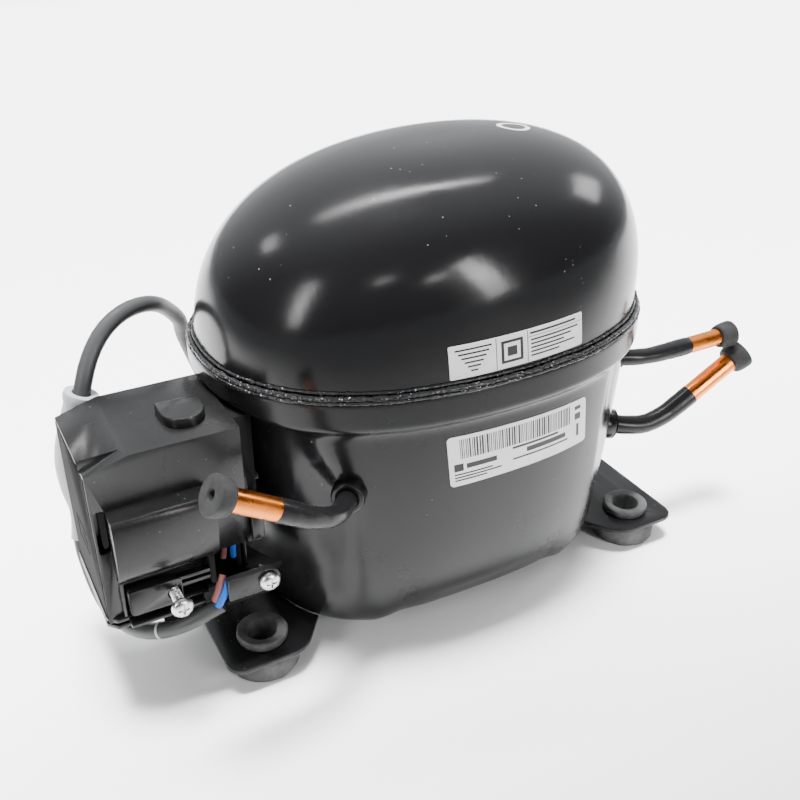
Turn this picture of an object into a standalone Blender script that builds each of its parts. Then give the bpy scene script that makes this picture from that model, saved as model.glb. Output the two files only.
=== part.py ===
"""Hermetic reciprocating compressor on four rubber feet, with its starting gear and supply lead.

Lengths are written in millimetres and become metres where a mesh is made. The compressor stands on
the XY plane with its shell's long axis along X. FRAME carries the shell's centre, so that the box
around the whole compressor, without its supply lead, is centred on the origin. Heights are counted
from a level FLOOR below the soles of the feet.
"""

import math

import bmesh
import bpy
from mathutils import Vector

MM = 0.001
GAP = 0.3

# Place of the shell's centre in the part's frame
SHELL_X, SHELL_Y = -4.7, 6.0
FLOOR = 3.3

# Welded shell: half lengths and half widths of its ovals
RIM_LONG, RIM_WIDE, RIM_Z = 88.4, 65.0, 114.8
DOME_LONG, DOME_WIDE, DOME_RISE, DOME_FOOT_Z = 85.6, 62.5, 63.8, 117.2
DOME_ROUND, DOME_TILT, DOME_SHIFT_X, DOME_SHIFT_Y = 2.65, 0.05, 4.7, -2.6
WALL_LONG, WALL_WIDE, BELT_FOOT_Z = 85.4, 62.6, 98.2
BOTTOM_Z, LONG_TAPER, WIDE_TAPER, LOWER_ROUND = 4.8, 8.5, 6.5, 7.0
BOTTOM_LIFT, SIDE_LIFT, ARCH_HALF, ARCH_EASE = 4.5, 4.5, 44.0, 13.0
SIDE_START, SIDE_EASE = 46.0, 7.0
SHEET = 3.0
OVAL_POWER = 2.3
SHELL_STEPS = 36

# Feet: the household hole pattern of 170 by 70
FOOT_X, FOOT_Y = 85.0, 35.0
PLATE_OUT_X, PLATE_OUT_Y = 101.7, 49.0
PLATE_TOP, PLATE_THICK = 15.0, 2.2
GROMMET_TOP, GROMMET_HOLE_R = 18.8, 5.4

# Tubes: where each leaves the shell, its route outside, its radius and its rubber plug's radius
TUBE_WALL = 1.0
PLUG_LONG = 9.0
TUBES = {
    "process": {
        "radius": 3.9,
        "plug": 7.4,
        "route": [(-52.4, -47.1, 78.1), (-55.4, -51, 78.4), (-59.7, -56.6, 78.8), (-67, -63.6, 81.2),
                  (-76.4, -67.2, 86.4), (-85, -68.4, 92.2), (-93, -69, 97.4), (-100.4, -69.4, 102.1)],
    },
    "discharge": {
        "radius": 3.2,
        "plug": 4.6,
        "route": [(76, -22.3, 85.5), (81, -24, 85.2), (87, -26, 84.8), (95, -27.4, 84.4),
                  (104, -28, 84.5), (113, -28.3, 84.9), (122, -28.5, 85.4), (131, -28.7, 85.9)],
    },
    "suction": {
        "radius": 4.0,
        "plug": 6.2,
        "route": [(75, -23, 55.4), (80, -24.9, 54.4), (86, -27.2, 53.2), (95, -29.2, 52.2),
                  (104, -30, 54), (112, -30.4, 58), (124, -30.8, 65.2), (136.5, -31.2, 72.7)],
    },
}

# Starting gear under its plastic cover, on the -X end
COVER_LOW = (-137.5, -36.6, 44.0)
COVER_HIGH = (-87.0, 5.5, 106.3)
COVER_WALL = 2.0
COVER_SLOPE_X, COVER_SLOPE_DROP = 14.5, 4.2
STEP_LOW, STEP_HIGH, STEP_OUT = 61.5, 88.0, 8.0
TERMINAL = (-84.0, -15.5, 78.0)
TERMINAL_R = 14.5

# Supply lead: from the clamp under the cover to its sleeve, up the sleeve, then over and down behind
CORD_R, LEAD_SPACING = 3.0, 8.0
SLEEVE_R, SLEEVE_BORE_R = 5.3, 3.5
COIL_R, COIL_TURNS = 33.0, 2
COIL_CENTRE = (30.0, 112.0)
LEAD_START = [(-100.8, -42.2, 42.2), (-110.7, -40.3, 37.7), (-119.6, -35.3, 32.9), (-126.8, -26.4, 29),
              (-131.6, -15.4, 27.9), (-134.2, -4.8, 30.6), (-135.4, 4.4, 37.1), (-135.7, 10.6, 46.7)]
SLEEVE_ROUTE = [(-135.4, 13.6, 60), (-135.4, 13.4, 72), (-134, 13, 84), (-130, 13, 95), (-126.3, 13, 105)]
LEAD_END = [(-123.1, 15, 112.6), (-118.7, 18.4, 118.7), (-113, 22.5, 123), (-106, 27.1, 125.1),
            (-98.3, 32.2, 124.6), (-91.1, 38.3, 121.2), (-84.7, 47, 114.4), (-78.7, 54.6, 105.6),
            (-75.9, 61.9, 95.7), (-71.5, 67.5, 83), (-66.4, 72.6, 69.2), (-60.2, 77.1, 54.7),
            (-53.5, 81.1, 40.8), (-45.9, 84.2, 28.2), (-35, 85.6, 18.2), (-23.3, 85.4, 11),
            (-12.4, 83.2, 7.8), (-2, 81, 6.9), (8.2, 79.4, 6.7)]

# Running gear: crankshaft axis, cylinder and motor
SHAFT_X = -12.0
SHAFT_R, PIN_R, THROW = 8.0, 6.0, 8.0
CYLINDER_Z, BORE_R, CYLINDER_OUT_R = 136.0, 11.0, 19.0
ROD_LONG = 40.0
BLOCK_LOW, BLOCK_HIGH = 106.0, 115.0
STACK_HALF, STACK_LOW, STACK_HIGH = 45.0, 52.0, 90.0
ROTOR_R, STATOR_BORE_R, WINDING_R = 29.0, 29.6, 41.0
SPRING_X, SPRING_Y = 36.0, 33.0
SPRING_LOW, SPRING_HIGH, SPRING_R, SPRING_WIRE = 18.6, 51.4, 6.0, 0.9
SPRING_TURNS, SPRING_SIDES = 5, 7

COLOURS = {
    "black_paint": ((0.012, 0.012, 0.013), 0.22, 0.0),
    "bead_paint": ((0.02, 0.02, 0.02), 0.35, 0.0),
    "black_plastic": ((0.018, 0.018, 0.019), 0.38, 0.0),
    "rubber": ((0.035, 0.035, 0.036), 0.75, 0.0),
    "copper": ((0.78, 0.36, 0.17), 0.28, 1.0),
    "zinc": ((0.62, 0.62, 0.6), 0.35, 1.0),
    "steel": ((0.45, 0.45, 0.46), 0.4, 1.0),
    "cast_iron": ((0.2, 0.2, 0.2), 0.6, 1.0),
    "aluminium": ((0.6, 0.61, 0.62), 0.45, 1.0),
    "enamel_wire": ((0.55, 0.22, 0.09), 0.4, 0.7),
    "grey_pvc": ((0.16, 0.16, 0.165), 0.5, 0.0),
    "light_sleeve": ((0.5, 0.5, 0.5), 0.5, 0.0),
    "white_plastic": ((0.75, 0.74, 0.7), 0.5, 0.0),
    "brown_wire": ((0.3, 0.1, 0.06), 0.45, 0.0),
    "blue_wire": ((0.03, 0.12, 0.45), 0.45, 0.0),
}


def clear_scene():
    for obj in list(bpy.data.objects):
        bpy.data.objects.remove(obj)


def make_frame():
    frame = bpy.data.objects.new("compressor_frame", None)
    frame.location = (SHELL_X * MM, SHELL_Y * MM, -FLOOR * MM)
    bpy.context.collection.objects.link(frame)
    return frame


def make_materials():
    made = {}
    for name, (colour, roughness, metallic) in COLOURS.items():
        material = bpy.data.materials.new(name)
        material.use_nodes = True
        shader = material.node_tree.nodes["Principled BSDF"]
        shader.inputs["Base Color"].default_value = (*colour, 1.0)
        shader.inputs["Roughness"].default_value = roughness
        shader.inputs["Metallic"].default_value = metallic
        made[name] = material
    return made


def solid(name, surface, material, sharp=35.0):
    """An object from (points in millimetres, faces), with its faces pointing out."""
    points, faces = surface
    mesh = bpy.data.meshes.new(name)
    mesh.from_pydata([Vector(p) * MM for p in points], [], faces)
    bm = bmesh.new()
    bm.from_mesh(mesh)
    bmesh.ops.recalc_face_normals(bm, faces=bm.faces)
    bm.to_mesh(mesh)
    bm.free()
    mesh.shade_smooth()
    mesh.set_sharp_from_angle(angle=math.radians(sharp))
    mesh.materials.append(MATERIALS[material])
    obj = bpy.data.objects.new(name, mesh)
    bpy.context.collection.objects.link(obj)
    obj.parent = FRAME
    return obj


def boolean(obj, operation, tools):
    for tool in tools:
        modifier = obj.modifiers.new(operation.lower(), "BOOLEAN")
        modifier.operation = operation
        modifier.object = tool
        tool.hide_render = True
        tool.display_type = "WIRE"
    return obj


def cut(obj, *tools):
    return boolean(obj, "DIFFERENCE", tools)


def fuse(obj, *tools):
    return boolean(obj, "UNION", tools)


def skin(rings, loop=False):
    """A surface through rings of points. A ring of one point is a pole; loop joins last to first."""
    points = [Vector(p) for ring in rings for p in ring]
    starts = [sum(len(ring) for ring in rings[:i]) for i in range(len(rings))]
    faces = []
    pairs = [(i, i + 1) for i in range(len(rings) - 1)]
    if loop:
        pairs.append((len(rings) - 1, 0))
    for i, j in pairs:
        count = max(len(rings[i]), len(rings[j]))
        for k in range(count):
            m = (k + 1) % count
            if len(rings[i]) == 1:
                faces.append((starts[i], starts[j] + k, starts[j] + m))
            elif len(rings[j]) == 1:
                faces.append((starts[i] + k, starts[i] + m, starts[j]))
            else:
                faces.append((starts[i] + k, starts[i] + m, starts[j] + m, starts[j] + k))
    if not loop:
        for i in (0, len(rings) - 1):
            if len(rings[i]) > 1:
                faces.append(tuple(range(starts[i], starts[i] + len(rings[i]))))
    return points, faces


def circle(centre, axis, radius, steps):
    """A circle about axis, or its centre where the radius is 0."""
    centre = Vector(centre)
    if radius == 0:
        return [centre]
    turn = Vector(axis).to_track_quat("Z", "Y")
    angles = [2 * math.pi * k / steps for k in range(steps)]
    return [centre + turn @ Vector((radius * math.cos(a), radius * math.sin(a), 0)) for a in angles]


def turned(profile, centre=(0, 0, 0), axis=(0, 0, 1), steps=24, ring=False):
    """A turned solid from (radius, height) pairs; ring closes the profile around a hole."""
    axis = Vector(axis).normalized()
    return skin([circle(Vector(centre) + axis * h, axis, r, steps) for r, h in profile], loop=ring)


def rod_along(centre, axis, radius, long, steps=16):
    return turned([(radius, 0), (radius, long)], centre, axis, steps)


def block(low, high):
    (x0, y0, z0), (x1, y1, z1) = low, high
    bottom = [(x0, y0, z0), (x1, y0, z0), (x1, y1, z0), (x0, y1, z0)]
    return skin([bottom, [(x, y, z1) for x, y, _ in bottom]])


def prism(outline, low, high):
    """An outline in XY, raised from low to high."""
    return skin([[(x, y, low) for x, y in outline], [(x, y, high) for x, y in outline]])


def rounded_outline(corners, radius, steps=4):
    """The outline through corners, each rounded off by a quadratic arc of about this radius."""
    outline = []
    for i, corner in enumerate(corners):
        here = Vector(corner)
        into = Vector(corners[i - 1]) - here
        away = Vector(corners[(i + 1) % len(corners)]) - here
        start = here + into.normalized() * radius
        end = here + away.normalized() * radius
        for k in range(steps + 1):
            t = k / steps
            outline.append(tuple(start.lerp(here, t).lerp(here.lerp(end, t), t)))
    return outline


def smooth_route(points, spacing):
    """Points about spacing apart on a Catmull-Rom curve through the route."""
    pts = [Vector(p) for p in points]
    pts = [pts[0] * 2 - pts[1]] + pts + [pts[-1] * 2 - pts[-2]]
    route = []
    for p0, p1, p2, p3 in zip(pts, pts[1:], pts[2:], pts[3:]):
        pieces = max(1, round((p2 - p1).length / spacing))
        for k in range(pieces):
            t = k / pieces
            route.append(0.5 * (2 * p1 + (p2 - p0) * t + (2 * p0 - 5 * p1 + 4 * p2 - p3) * t * t
                                + (3 * p1 - p0 - 3 * p2 + p3) * t ** 3))
    route.append(pts[-2])
    return route


def swept(route, radius, sides, bore=0.0):
    """A round bar along a route, or a pipe where it has a bore radius."""
    ways = [(b - a).normalized() for a, b in zip(route, route[1:])]
    tangents = [ways[0]] + [(a + b).normalized() for a, b in zip(ways, ways[1:])] + [ways[-1]]
    across = tangents[0].orthogonal().normalized()
    outer, inner = [], []
    for point, tangent in zip(route, tangents):
        across = (across - tangent * across.dot(tangent)).normalized()
        other = tangent.cross(across)
        spokes = []
        for k in range(sides):
            angle = 2 * math.pi * k / sides
            spokes.append(across * math.cos(angle) + other * math.sin(angle))
        outer.append([point + s * radius for s in spokes])
        inner.append([point + s * bore for s in spokes])
    if bore:
        return skin(outer + inner[::-1], loop=True)
    return skin(outer)


def oval(half_long, half_wide, z, power=OVAL_POWER, centre=(0, 0), steps=SHELL_STEPS):
    ring = []
    for k in range(steps):
        angle = 2 * math.pi * k / steps
        c, s = math.cos(angle), math.sin(angle)
        x = centre[0] + half_long * math.copysign(abs(c) ** (2 / power), c)
        y = centre[1] + half_wide * math.copysign(abs(s) ** (2 / power), s)
        ring.append((x, y, z))
    return ring


def dome_ring(t, inset=0.0):
    """Ring of the dome from t = 0 at its foot to t = 1 at its crown."""
    turn = t * math.pi / 2
    out = math.cos(turn) ** (2 / DOME_ROUND)
    up = math.sin(turn) ** (2 / DOME_ROUND)
    centre = (DOME_SHIFT_X * up, DOME_SHIFT_Y * up)
    if t == 1.0:
        return [(*centre, DOME_FOOT_Z + DOME_RISE + DOME_TILT * centre[0] - inset)]
    ring = oval((DOME_LONG - inset) * out, (DOME_WIDE - inset) * out, 0, OVAL_POWER - 0.25 * up, centre)
    return [(x, y, DOME_FOOT_Z + up * (DOME_RISE - inset + DOME_TILT * x)) for x, y, _ in ring]


def shell_upper():
    edge_z = RIM_Z - 7.0 + GAP
    steps = [0.0, 0.1, 0.23, 0.37, 0.51, 0.65, 0.78, 0.9, 1.0]
    outer = [oval(DOME_LONG, DOME_WIDE, edge_z)] + [dome_ring(t) for t in steps]
    inner = [oval(DOME_LONG - SHEET, DOME_WIDE - SHEET, edge_z)] + [dome_ring(t, SHEET) for t in steps]
    return solid("shell_upper", skin(outer[::-1] + inner), "black_paint")


def lower_ring(t, inset=0.0):
    """Ring of the lower shell from t = 0 under the belt to t = 1 at the bottom."""
    turn = t * math.pi / 2
    out = math.cos(turn) ** (2 / LOWER_ROUND)
    down = math.sin(turn) ** (2 / LOWER_ROUND)
    low = BOTTOM_Z + inset
    if t == 1.0:
        return [(0, 0, low + BOTTOM_LIFT)]
    long = (WALL_LONG - inset - LONG_TAPER * down) * out
    wide = (WALL_WIDE - inset - WIDE_TAPER * down) * out
    z = BELT_FOOT_Z - (BELT_FOOT_Z - low) * down
    ring = oval(long, wide, z, OVAL_POWER + 0.4 * down)
    return [(x, y, z + down ** 6 * bottom_arch(x, y)) for x, y, _ in ring]


def ease(t):
    t = min(1.0, max(0.0, t))
    return t * t * (3 - 2 * t)


def bottom_arch(x, y):
    """How far the shell's bottom is raised between its two lower ends, and most along its sides."""
    lift = BOTTOM_LIFT + SIDE_LIFT * ease((abs(y) - SIDE_START) / SIDE_EASE)
    return lift * ease((ARCH_HALF - abs(x)) / ARCH_EASE)


def shell_lower():
    steps = [0.0, 0.25, 0.45, 0.62, 0.76, 0.87, 0.95, 1.0]
    pocket = SHEET - 0.9
    belt = [(RIM_Z, -0.2), (RIM_Z - 1.8, 0.2), (RIM_Z - 8.0, 0.0), (RIM_Z - 11.5, -1.1)]
    outer = [oval(RIM_LONG + d, RIM_WIDE + d, z) for z, d in belt] + [lower_ring(t) for t in steps]
    inner = [oval(RIM_LONG - pocket, RIM_WIDE - pocket, RIM_Z),
             oval(RIM_LONG - pocket, RIM_WIDE - pocket, RIM_Z - 7.0),
             oval(WALL_LONG - SHEET + 0.2, WALL_WIDE - SHEET + 0.2, RIM_Z - 7.0)]
    inner += [lower_ring(t, SHEET) for t in steps]
    shell = solid("shell_lower", skin(outer[::-1] + inner), "black_paint")
    for name, tube in TUBES.items():
        start, exit_point = Vector(tube["route"][0]), Vector(tube["route"][1])
        way = (exit_point - start).normalized()
        hole = rod_along(start - way * 6, way, tube["radius"] + 2.7 + GAP, 26, 20)
        cut(shell, solid(name + "_hole", hole, "steel"))
    x, y, z = TERMINAL
    hole = rod_along((x + 12, y, z), (-1, 0, 0), TERMINAL_R + GAP, 24, 24)
    cut(shell, solid("terminal_hole", hole, "steel"))
    return shell


def weld_seam():
    """Bead laid in the step between the dome's wall and the top of the belt."""
    foot = RIM_Z + GAP
    profile = [(DOME_LONG + GAP, DOME_WIDE + GAP, foot), (RIM_LONG - 0.3, RIM_WIDE - 0.3, foot),
               (RIM_LONG - 0.6, RIM_WIDE - 0.6, foot + 1.3), (DOME_LONG + 0.9, DOME_WIDE + 0.9, foot + 2.4),
               (DOME_LONG + GAP, DOME_WIDE + GAP, foot + 2.1)]
    rings = [oval(long, wide, z) for long, wide, z in profile]
    solid("weld_seam", skin(rings, loop=True), "bead_paint")


def base_plate(name, side):
    """Cross plate under one end of the shell, cut to the shell's outline, with a hole per foot."""
    corners = [(PLATE_OUT_X, -PLATE_OUT_Y), (PLATE_OUT_X, PLATE_OUT_Y), (73.0, PLATE_OUT_Y),
               (56.0, 26.0), (56.0, -26.0), (73.0, -PLATE_OUT_Y)]
    if side < 0:
        corners = [(-x, y) for x, y in corners[::-1]]
    outline = rounded_outline(corners, 6.0, 3)
    plate = solid(name, prism(outline, PLATE_TOP - PLATE_THICK, PLATE_TOP), "black_paint")
    relief = [lower_ring(t, -0.6) for t in (0.25, 0.45, 0.62, 0.76, 0.87, 0.95, 1.0)]
    cut(plate, solid(name + "_relief", skin(relief), "steel"))
    for y in (-FOOT_Y, FOOT_Y):
        hole = rod_along((side * FOOT_X, y, 5), (0, 0, 1), GROMMET_HOLE_R + 2.2, 20, 20)
        cut(plate, solid(f"{name}_hole_{y:.0f}", hole, "steel"))


def grommet(name, x, y):
    """Rubber foot with its waist in the plate's hole."""
    waist = GROMMET_HOLE_R + 1.9
    low, high = PLATE_TOP - PLATE_THICK - GAP, PLATE_TOP + GAP
    bore = GROMMET_HOLE_R
    profile = [(bore, FLOOR), (10.4, FLOOR), (11.3, FLOOR + 1.2), (10.8, low), (waist, low), (waist, high),
               (9.3, high), (9.3, GROMMET_TOP - 1), (8.5, GROMMET_TOP), (bore, GROMMET_TOP)]
    solid(name, turned(profile, (x, y, 0), steps=16, ring=True), "rubber")


def tube_and_plug(name, tube):
    radius = tube["radius"]
    bore = radius - TUBE_WALL
    route = smooth_route(tube["route"], 6.0)
    solid(name + "_tube", swept(route, radius, 10, bore), "copper")
    start, exit_point = Vector(tube["route"][0]), Vector(tube["route"][1])
    way = (exit_point - start).normalized()
    hole, rim = radius + GAP, radius + 2.7
    collar = [(hole, -4), (rim, -4), (rim, 2.6), (rim - 0.9, 3.6), (hole, 3.6)]
    solid(name + "_collar", turned(collar, exit_point, way, 20, ring=True), "black_paint")
    out = (route[-1] - route[-2]).normalized()
    head, long = tube["plug"], PLUG_LONG
    stem = bore - GAP
    profile = [(0, -7), (stem - 0.6, -7), (stem, -6), (stem, GAP), (head, GAP), (head, long - 1),
               (head - 1, long), (head * 0.35, long), (head * 0.3, long - 4), (0, long - 4)]
    solid(name + "_plug", turned(profile, route[-1], out, 20), "rubber")


def terminal():
    x, y, z = TERMINAL
    profile = [(0, -4), (TERMINAL_R - 3, -4), (TERMINAL_R, 0), (TERMINAL_R, 5), (TERMINAL_R - 2, 5),
               (TERMINAL_R - 4, 0.5), (0, 0.5)]
    body = solid("terminal_body", turned(profile, TERMINAL, (-1, 0, 0), 24), "steel")
    for number, angle in enumerate((90, 210, 330), start=1):
        py = y + 5.5 * math.cos(math.radians(angle))
        pz = z + 5.5 * math.sin(math.radians(angle))
        hole = rod_along((x + 8, py, pz), (-1, 0, 0), 1.5 + GAP, 12, 12)
        cut(body, solid(f"terminal_hole_{number}", hole, "steel"))
        solid(f"terminal_pin_{number}", rod_along((x + 7, py, pz), (-1, 0, 0), 1.5, 19, 12), "zinc")


def starting_gear():
    x, y, z = TERMINAL
    relay = solid("start_relay", block((-121, y - 9, 64), (-97, y + 13, 92)), "black_plastic")
    cut(relay, solid("relay_window", block((-116, y - 4, 60), (-102, y + 8, 68)), "steel"))
    overload = [(0, 0), (9, 0), (9.6, 1), (9.6, 9), (9, 10), (0, 10)]
    solid("overload_protector", turned(overload, (-108, y - 1, 50), steps=20), "black_plastic")
    capacitor = [(0, 0), (6.8, 0), (7.6, 1), (7.6, 29), (6.8, 30), (0, 30)]
    solid("run_capacitor", turned(capacitor, (-132, -33.6, 75), (1, 0, 0), 20), "white_plastic")


def electrical_cover():
    """Hood open towards the shell and downwards, with a sloped end and a round-nosed front step."""
    (x0, y0, z0), (x1, y1, z1) = COVER_LOW, COVER_HIGH

    def hood(inset, low, right):
        left, slope = x0 + inset, x0 + COVER_SLOPE_X
        top, drop = z1 - inset, COVER_SLOPE_DROP
        end = [(left, low), (right, low), (right, top), (slope, top), (left, top - drop)]
        return skin([[(x, y, z) for x, z in end] for y in (y0 + inset, y1 - inset)])

    def nose(inset, left, right):
        middle, half = (STEP_LOW + STEP_HIGH) / 2, (STEP_HIGH - STEP_LOW) / 2 - inset
        arc = []
        for k in range(9):
            turn = math.pi * (k / 8 - 0.5)
            out = (STEP_OUT - inset) * math.cos(turn) ** 0.5
            arc.append((y0 - out, middle + half * math.sin(turn)))
        arc += [(y0 + 6, middle + half), (y0 + 6, middle - half)]
        return skin([[(x, y, z) for y, z in arc] for x in (left, right)])

    cover = solid("electrical_cover", hood(0, z0, x1), "black_plastic")
    fuse(cover, solid("cover_nose", nose(0, x0 + 2.5, x1 - 12), "steel"))
    cut(cover, solid("cover_hollow", hood(COVER_WALL, z0 - 5, x1 + 5), "steel"))
    cut(cover, solid("nose_hollow", nose(COVER_WALL, x0 + 2.5 + COVER_WALL, x1 - 12 - COVER_WALL), "steel"))
    front = block((x0 + 6, y0 - 5, z0 - 5), (x1 + 5, y0 + 5, STEP_LOW - 1.5))
    cut(cover, solid("front_mouth", front, "steel"))
    wires = block((x0 + 35, y0 - 12, z0 - 5), (x1 + 5, y0 + 5, STEP_LOW + 5))
    cut(cover, solid("wire_mouth", wires, "steel"))
    belt = [oval(RIM_LONG + 0.9, RIM_WIDE + 0.9, z) for z in (BELT_FOOT_Z - 8, RIM_Z + 5)]
    cut(cover, solid("belt_relief", skin(belt), "steel"))


def cord_fixings():
    """Tray, clamp and strap at the cover's lower front, with their screws."""
    tray = solid("cord_tray", block((-130.5, -37.8, 45.0), (-103.5, -31.0, 47.0)), "black_plastic")
    fuse(tray, solid("tray_back", block((-130.5, -33.0, 46.0), (-103.5, -31.0, 58.0)), "steel"))
    clamp = solid("cord_clamp", block((-130.5, -42.0, 48.6), (-102.6, -38.6, 57.0)), "black_plastic")
    cut(clamp, solid("clamp_hole", rod_along((-116, -30, 53), (0, -1, 0), 2.2, 20, 12), "steel"))
    outline = [(-99, 44.8), (-84.5, 44.8), (-80.5, 46.2), (-79.6, 49.2), (-80.5, 52.2), (-84.5, 53.6),
               (-99, 53.6)]
    strap = skin([[(x, y, z) for x, z in outline] for y in (-46.0, -43.0)])
    strap = solid("cord_strap", strap, "black_plastic")
    cut(strap, solid("strap_hole", rod_along((-84.4, -38, 49.2), (0, -1, 0), 2.2, 20, 12), "steel"))
    screws = (("clamp_screw", (-116, -49.5, 53), 14), ("strap_screw", (-84.4, -46.3, 49.2), 9))
    for name, face, shank in screws:
        profile = [(0, -shank), (1.2, -shank), (1.9, -shank + 2), (1.9, 0), (3.75, 0), (3.6, 1.4),
                   (2.2, 2.4), (0, 2.6)]
        solid(name, turned(profile, face, (0, -1, 0), 20), "zinc")


def lead_wires():
    """The lead's two wires, side by side from its end up into the cover."""
    for colour, shift in (("brown", 0.0), ("blue", 2.7)):
        route = [(-99.4 + shift * 0.35, -42.9 + shift * 0.9, 43.4), (-100.2 + shift, -41.2, 47.5),
                 (-101 + shift, -40.4, 53), (-100.2 + shift, -38.6, 59), (-98 + shift, -34.4, 62.6),
                 (-96 + shift, -29.5, 64.6)]
        solid("wire_" + colour, swept(smooth_route(route, 2.5), 1.15, 8), colour + "_wire")


def supply_lead():
    route = smooth_route(LEAD_START + SLEEVE_ROUTE + LEAD_END, LEAD_SPACING)
    curve = bpy.data.curves.new("supply_cord", "CURVE")
    curve.dimensions = "3D"
    curve.bevel_depth = CORD_R * MM
    curve.bevel_resolution = 2
    curve.use_fill_caps = True
    curve.render_resolution_u = 0
    spline = curve.splines.new("POLY")
    spline.points.add(len(route) - 1)
    for point, place in zip(spline.points, route):
        point.co = (*(place * MM), 1.0)
    curve.materials.append(MATERIALS["grey_pvc"])
    cord = bpy.data.objects.new("supply_cord", curve)
    bpy.context.collection.objects.link(cord)
    cord.parent = FRAME
    solid("cord_sleeve", swept(smooth_route(SLEEVE_ROUTE, 8.0), SLEEVE_R, 14, SLEEVE_BORE_R), "light_sleeve")


def lead_coil():
    """Outer shape of the lead's coil behind the shell, and the connector where the coil ends."""
    half = CORD_R + 0.2
    low = FLOOR + 0.3
    high = low + (COIL_TURNS + 1) * 2 * CORD_R + 1.2
    x, y = COIL_CENTRE
    profile = [(COIL_R - half, low), (COIL_R + half, low), (COIL_R + half, high), (COIL_R - half, high)]
    solid("cord_coil", turned(profile, (x, y, 0), steps=40, ring=True), "grey_pvc")
    side = x + COIL_R + half + GAP
    solid("cord_connector", block((side, y + 8, low), (side + 14, y + 36, low + 10)), "white_plastic")


def crankcase():
    """Block with the main bearing, and the cylinder standing across it along X."""
    x, z = SHAFT_X, CYLINDER_Z
    outline = rounded_outline([(x - 38, -38), (x + 44, -38), (x + 44, 38), (x - 38, 38)], 8)
    case = solid("crankcase", prism(outline, BLOCK_LOW, BLOCK_HIGH), "cast_iron")
    fuse(case, solid("bearing_tube", rod_along((x, 0, 92), (0, 0, 1), 14, BLOCK_LOW - 90, 24), "steel"))
    for sx in (-1, 1):
        for sy in (-1, 1):
            low = (x + sx * 34 - 5, sy * 34 - 5, STACK_HIGH + GAP)
            leg = block(low, (low[0] + 10, low[1] + 10, BLOCK_LOW + 1))
            fuse(case, solid(f"case_leg_{sx}_{sy}", leg, "steel"))
    web = block((x + 26, -13, BLOCK_HIGH - 1), (x + 62, 13, z - 8))
    fuse(case, solid("cylinder_web", web, "steel"))
    fuse(case, solid("cylinder_wall", rod_along((x + 20, 0, z), (1, 0, 0), CYLINDER_OUT_R, 42, 28), "steel"))
    cut(case, solid("cylinder_bore", rod_along((x, 0, z), (1, 0, 0), BORE_R + GAP, 80, 28), "steel"))
    cut(case, solid("bearing_bore", rod_along((x, 0, 80), (0, 0, 1), SHAFT_R + GAP, 50, 24), "steel"))
    room = rod_along((x, 0, BLOCK_HIGH), (0, 0, 1), 24.5, 60, 32)
    cut(case, solid("crank_room", room, "steel"))


def crankshaft():
    """Shaft, balance web and crank pin. The pin ends just below the rod's eye."""
    x = SHAFT_X
    top = BLOCK_HIGH + GAP
    profile = [(0, 44), (6.5, 44), (SHAFT_R, 46), (SHAFT_R, top), (13, top), (13, 118), (0, 118)]
    shaft = solid("crankshaft", turned(profile, (x, 0, 0), steps=24), "cast_iron")
    turns = [math.pi * (0.5 + k / 12) for k in range(13)]
    web = [(x + 22 * math.cos(a), 22 * math.sin(a)) for a in turns]
    web += [(x + 14, -9), (x + 16, 0), (x + 14, 9)]
    fuse(shaft, solid("balance_web", prism(web, 116.5, 122), "steel"))
    fuse(shaft, solid("crank_pin", rod_along((x + THROW, 0, 121), (0, 0, 1), PIN_R, 9.4, 20), "steel"))
    pickup = [(5.9, 20), (6.5, 21), (6.5, 43.7), (3.2, 43.7), (2.4, 20)]
    solid("oil_pickup", turned(pickup, (x, 0, 0), steps=20, ring=True), "steel")


def piston_and_rod():
    x, z = SHAFT_X + THROW + ROD_LONG, CYLINDER_Z
    skirt = [(0, 11), (BORE_R - 0.5, 11), (BORE_R, 10.5), (BORE_R, -10), (8, -10), (8, 6), (0, 6)]
    piston = solid("piston", turned(skirt, (x, 0, z), (1, 0, 0), 28), "cast_iron")
    cut(piston, solid("piston_pin_hole", rod_along((x, 0, z - 15), (0, 0, 1), 2.8 + GAP, 30, 16), "steel"))
    solid("wrist_pin", rod_along((x, 0, z - 9.8), (0, 0, 1), 2.8, 19.6, 16), "steel")
    eye_x = x - ROD_LONG
    rod = solid("connecting_rod", rod_along((eye_x, 0, z - 5), (0, 0, 1), 10.5, 10, 28), "aluminium")
    fuse(rod, solid("rod_beam", block((eye_x + 8, -3.2, z - 3.5), (x - 3, 3.2, z + 3.5)), "steel"))
    fuse(rod, solid("rod_small_end", rod_along((x, 0, z - 4.2), (0, 0, 1), 5.4, 8.4, 20), "steel"))
    cut(rod, solid("rod_big_eye", rod_along((eye_x, 0, z - 9), (0, 0, 1), PIN_R + GAP, 18, 24), "steel"))
    cut(rod, solid("rod_small_eye", rod_along((x, 0, z - 9), (0, 0, 1), 2.8 + GAP, 18, 16), "steel"))


def head_end():
    """Gasket, valve plate, cylinder head and suction muffler on the cylinder's end."""
    x, z = SHAFT_X + 62 + GAP, CYLINDER_Z
    layers = (("head_gasket", 0.8, 20, "black_plastic"), ("valve_plate", 3.0, 20, "steel"))
    for name, thick, half, material in layers:
        plate = solid(name, block((x, -half, z - half), (x + thick, half, z + half)), material)
        if name == "head_gasket":
            hole = rod_along((x - 5, 0, z), (1, 0, 0), BORE_R + 1, 12, 24)
            cut(plate, solid("gasket_hole", hole, "steel"))
        x += thick + GAP
    head = rounded_outline([(-20, z - 20), (20, z - 20), (20, z + 20), (-20, z + 20)], 6)
    solid("cylinder_head", skin([[(px, y, h) for y, h in head] for px in (x, x + 11)]), "aluminium")
    muffler = rounded_outline([(22, 24.5), (48, 24.5), (48, 39), (22, 39)], 5)
    solid("suction_muffler", prism(muffler, 117, 149), "white_plastic")


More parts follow.
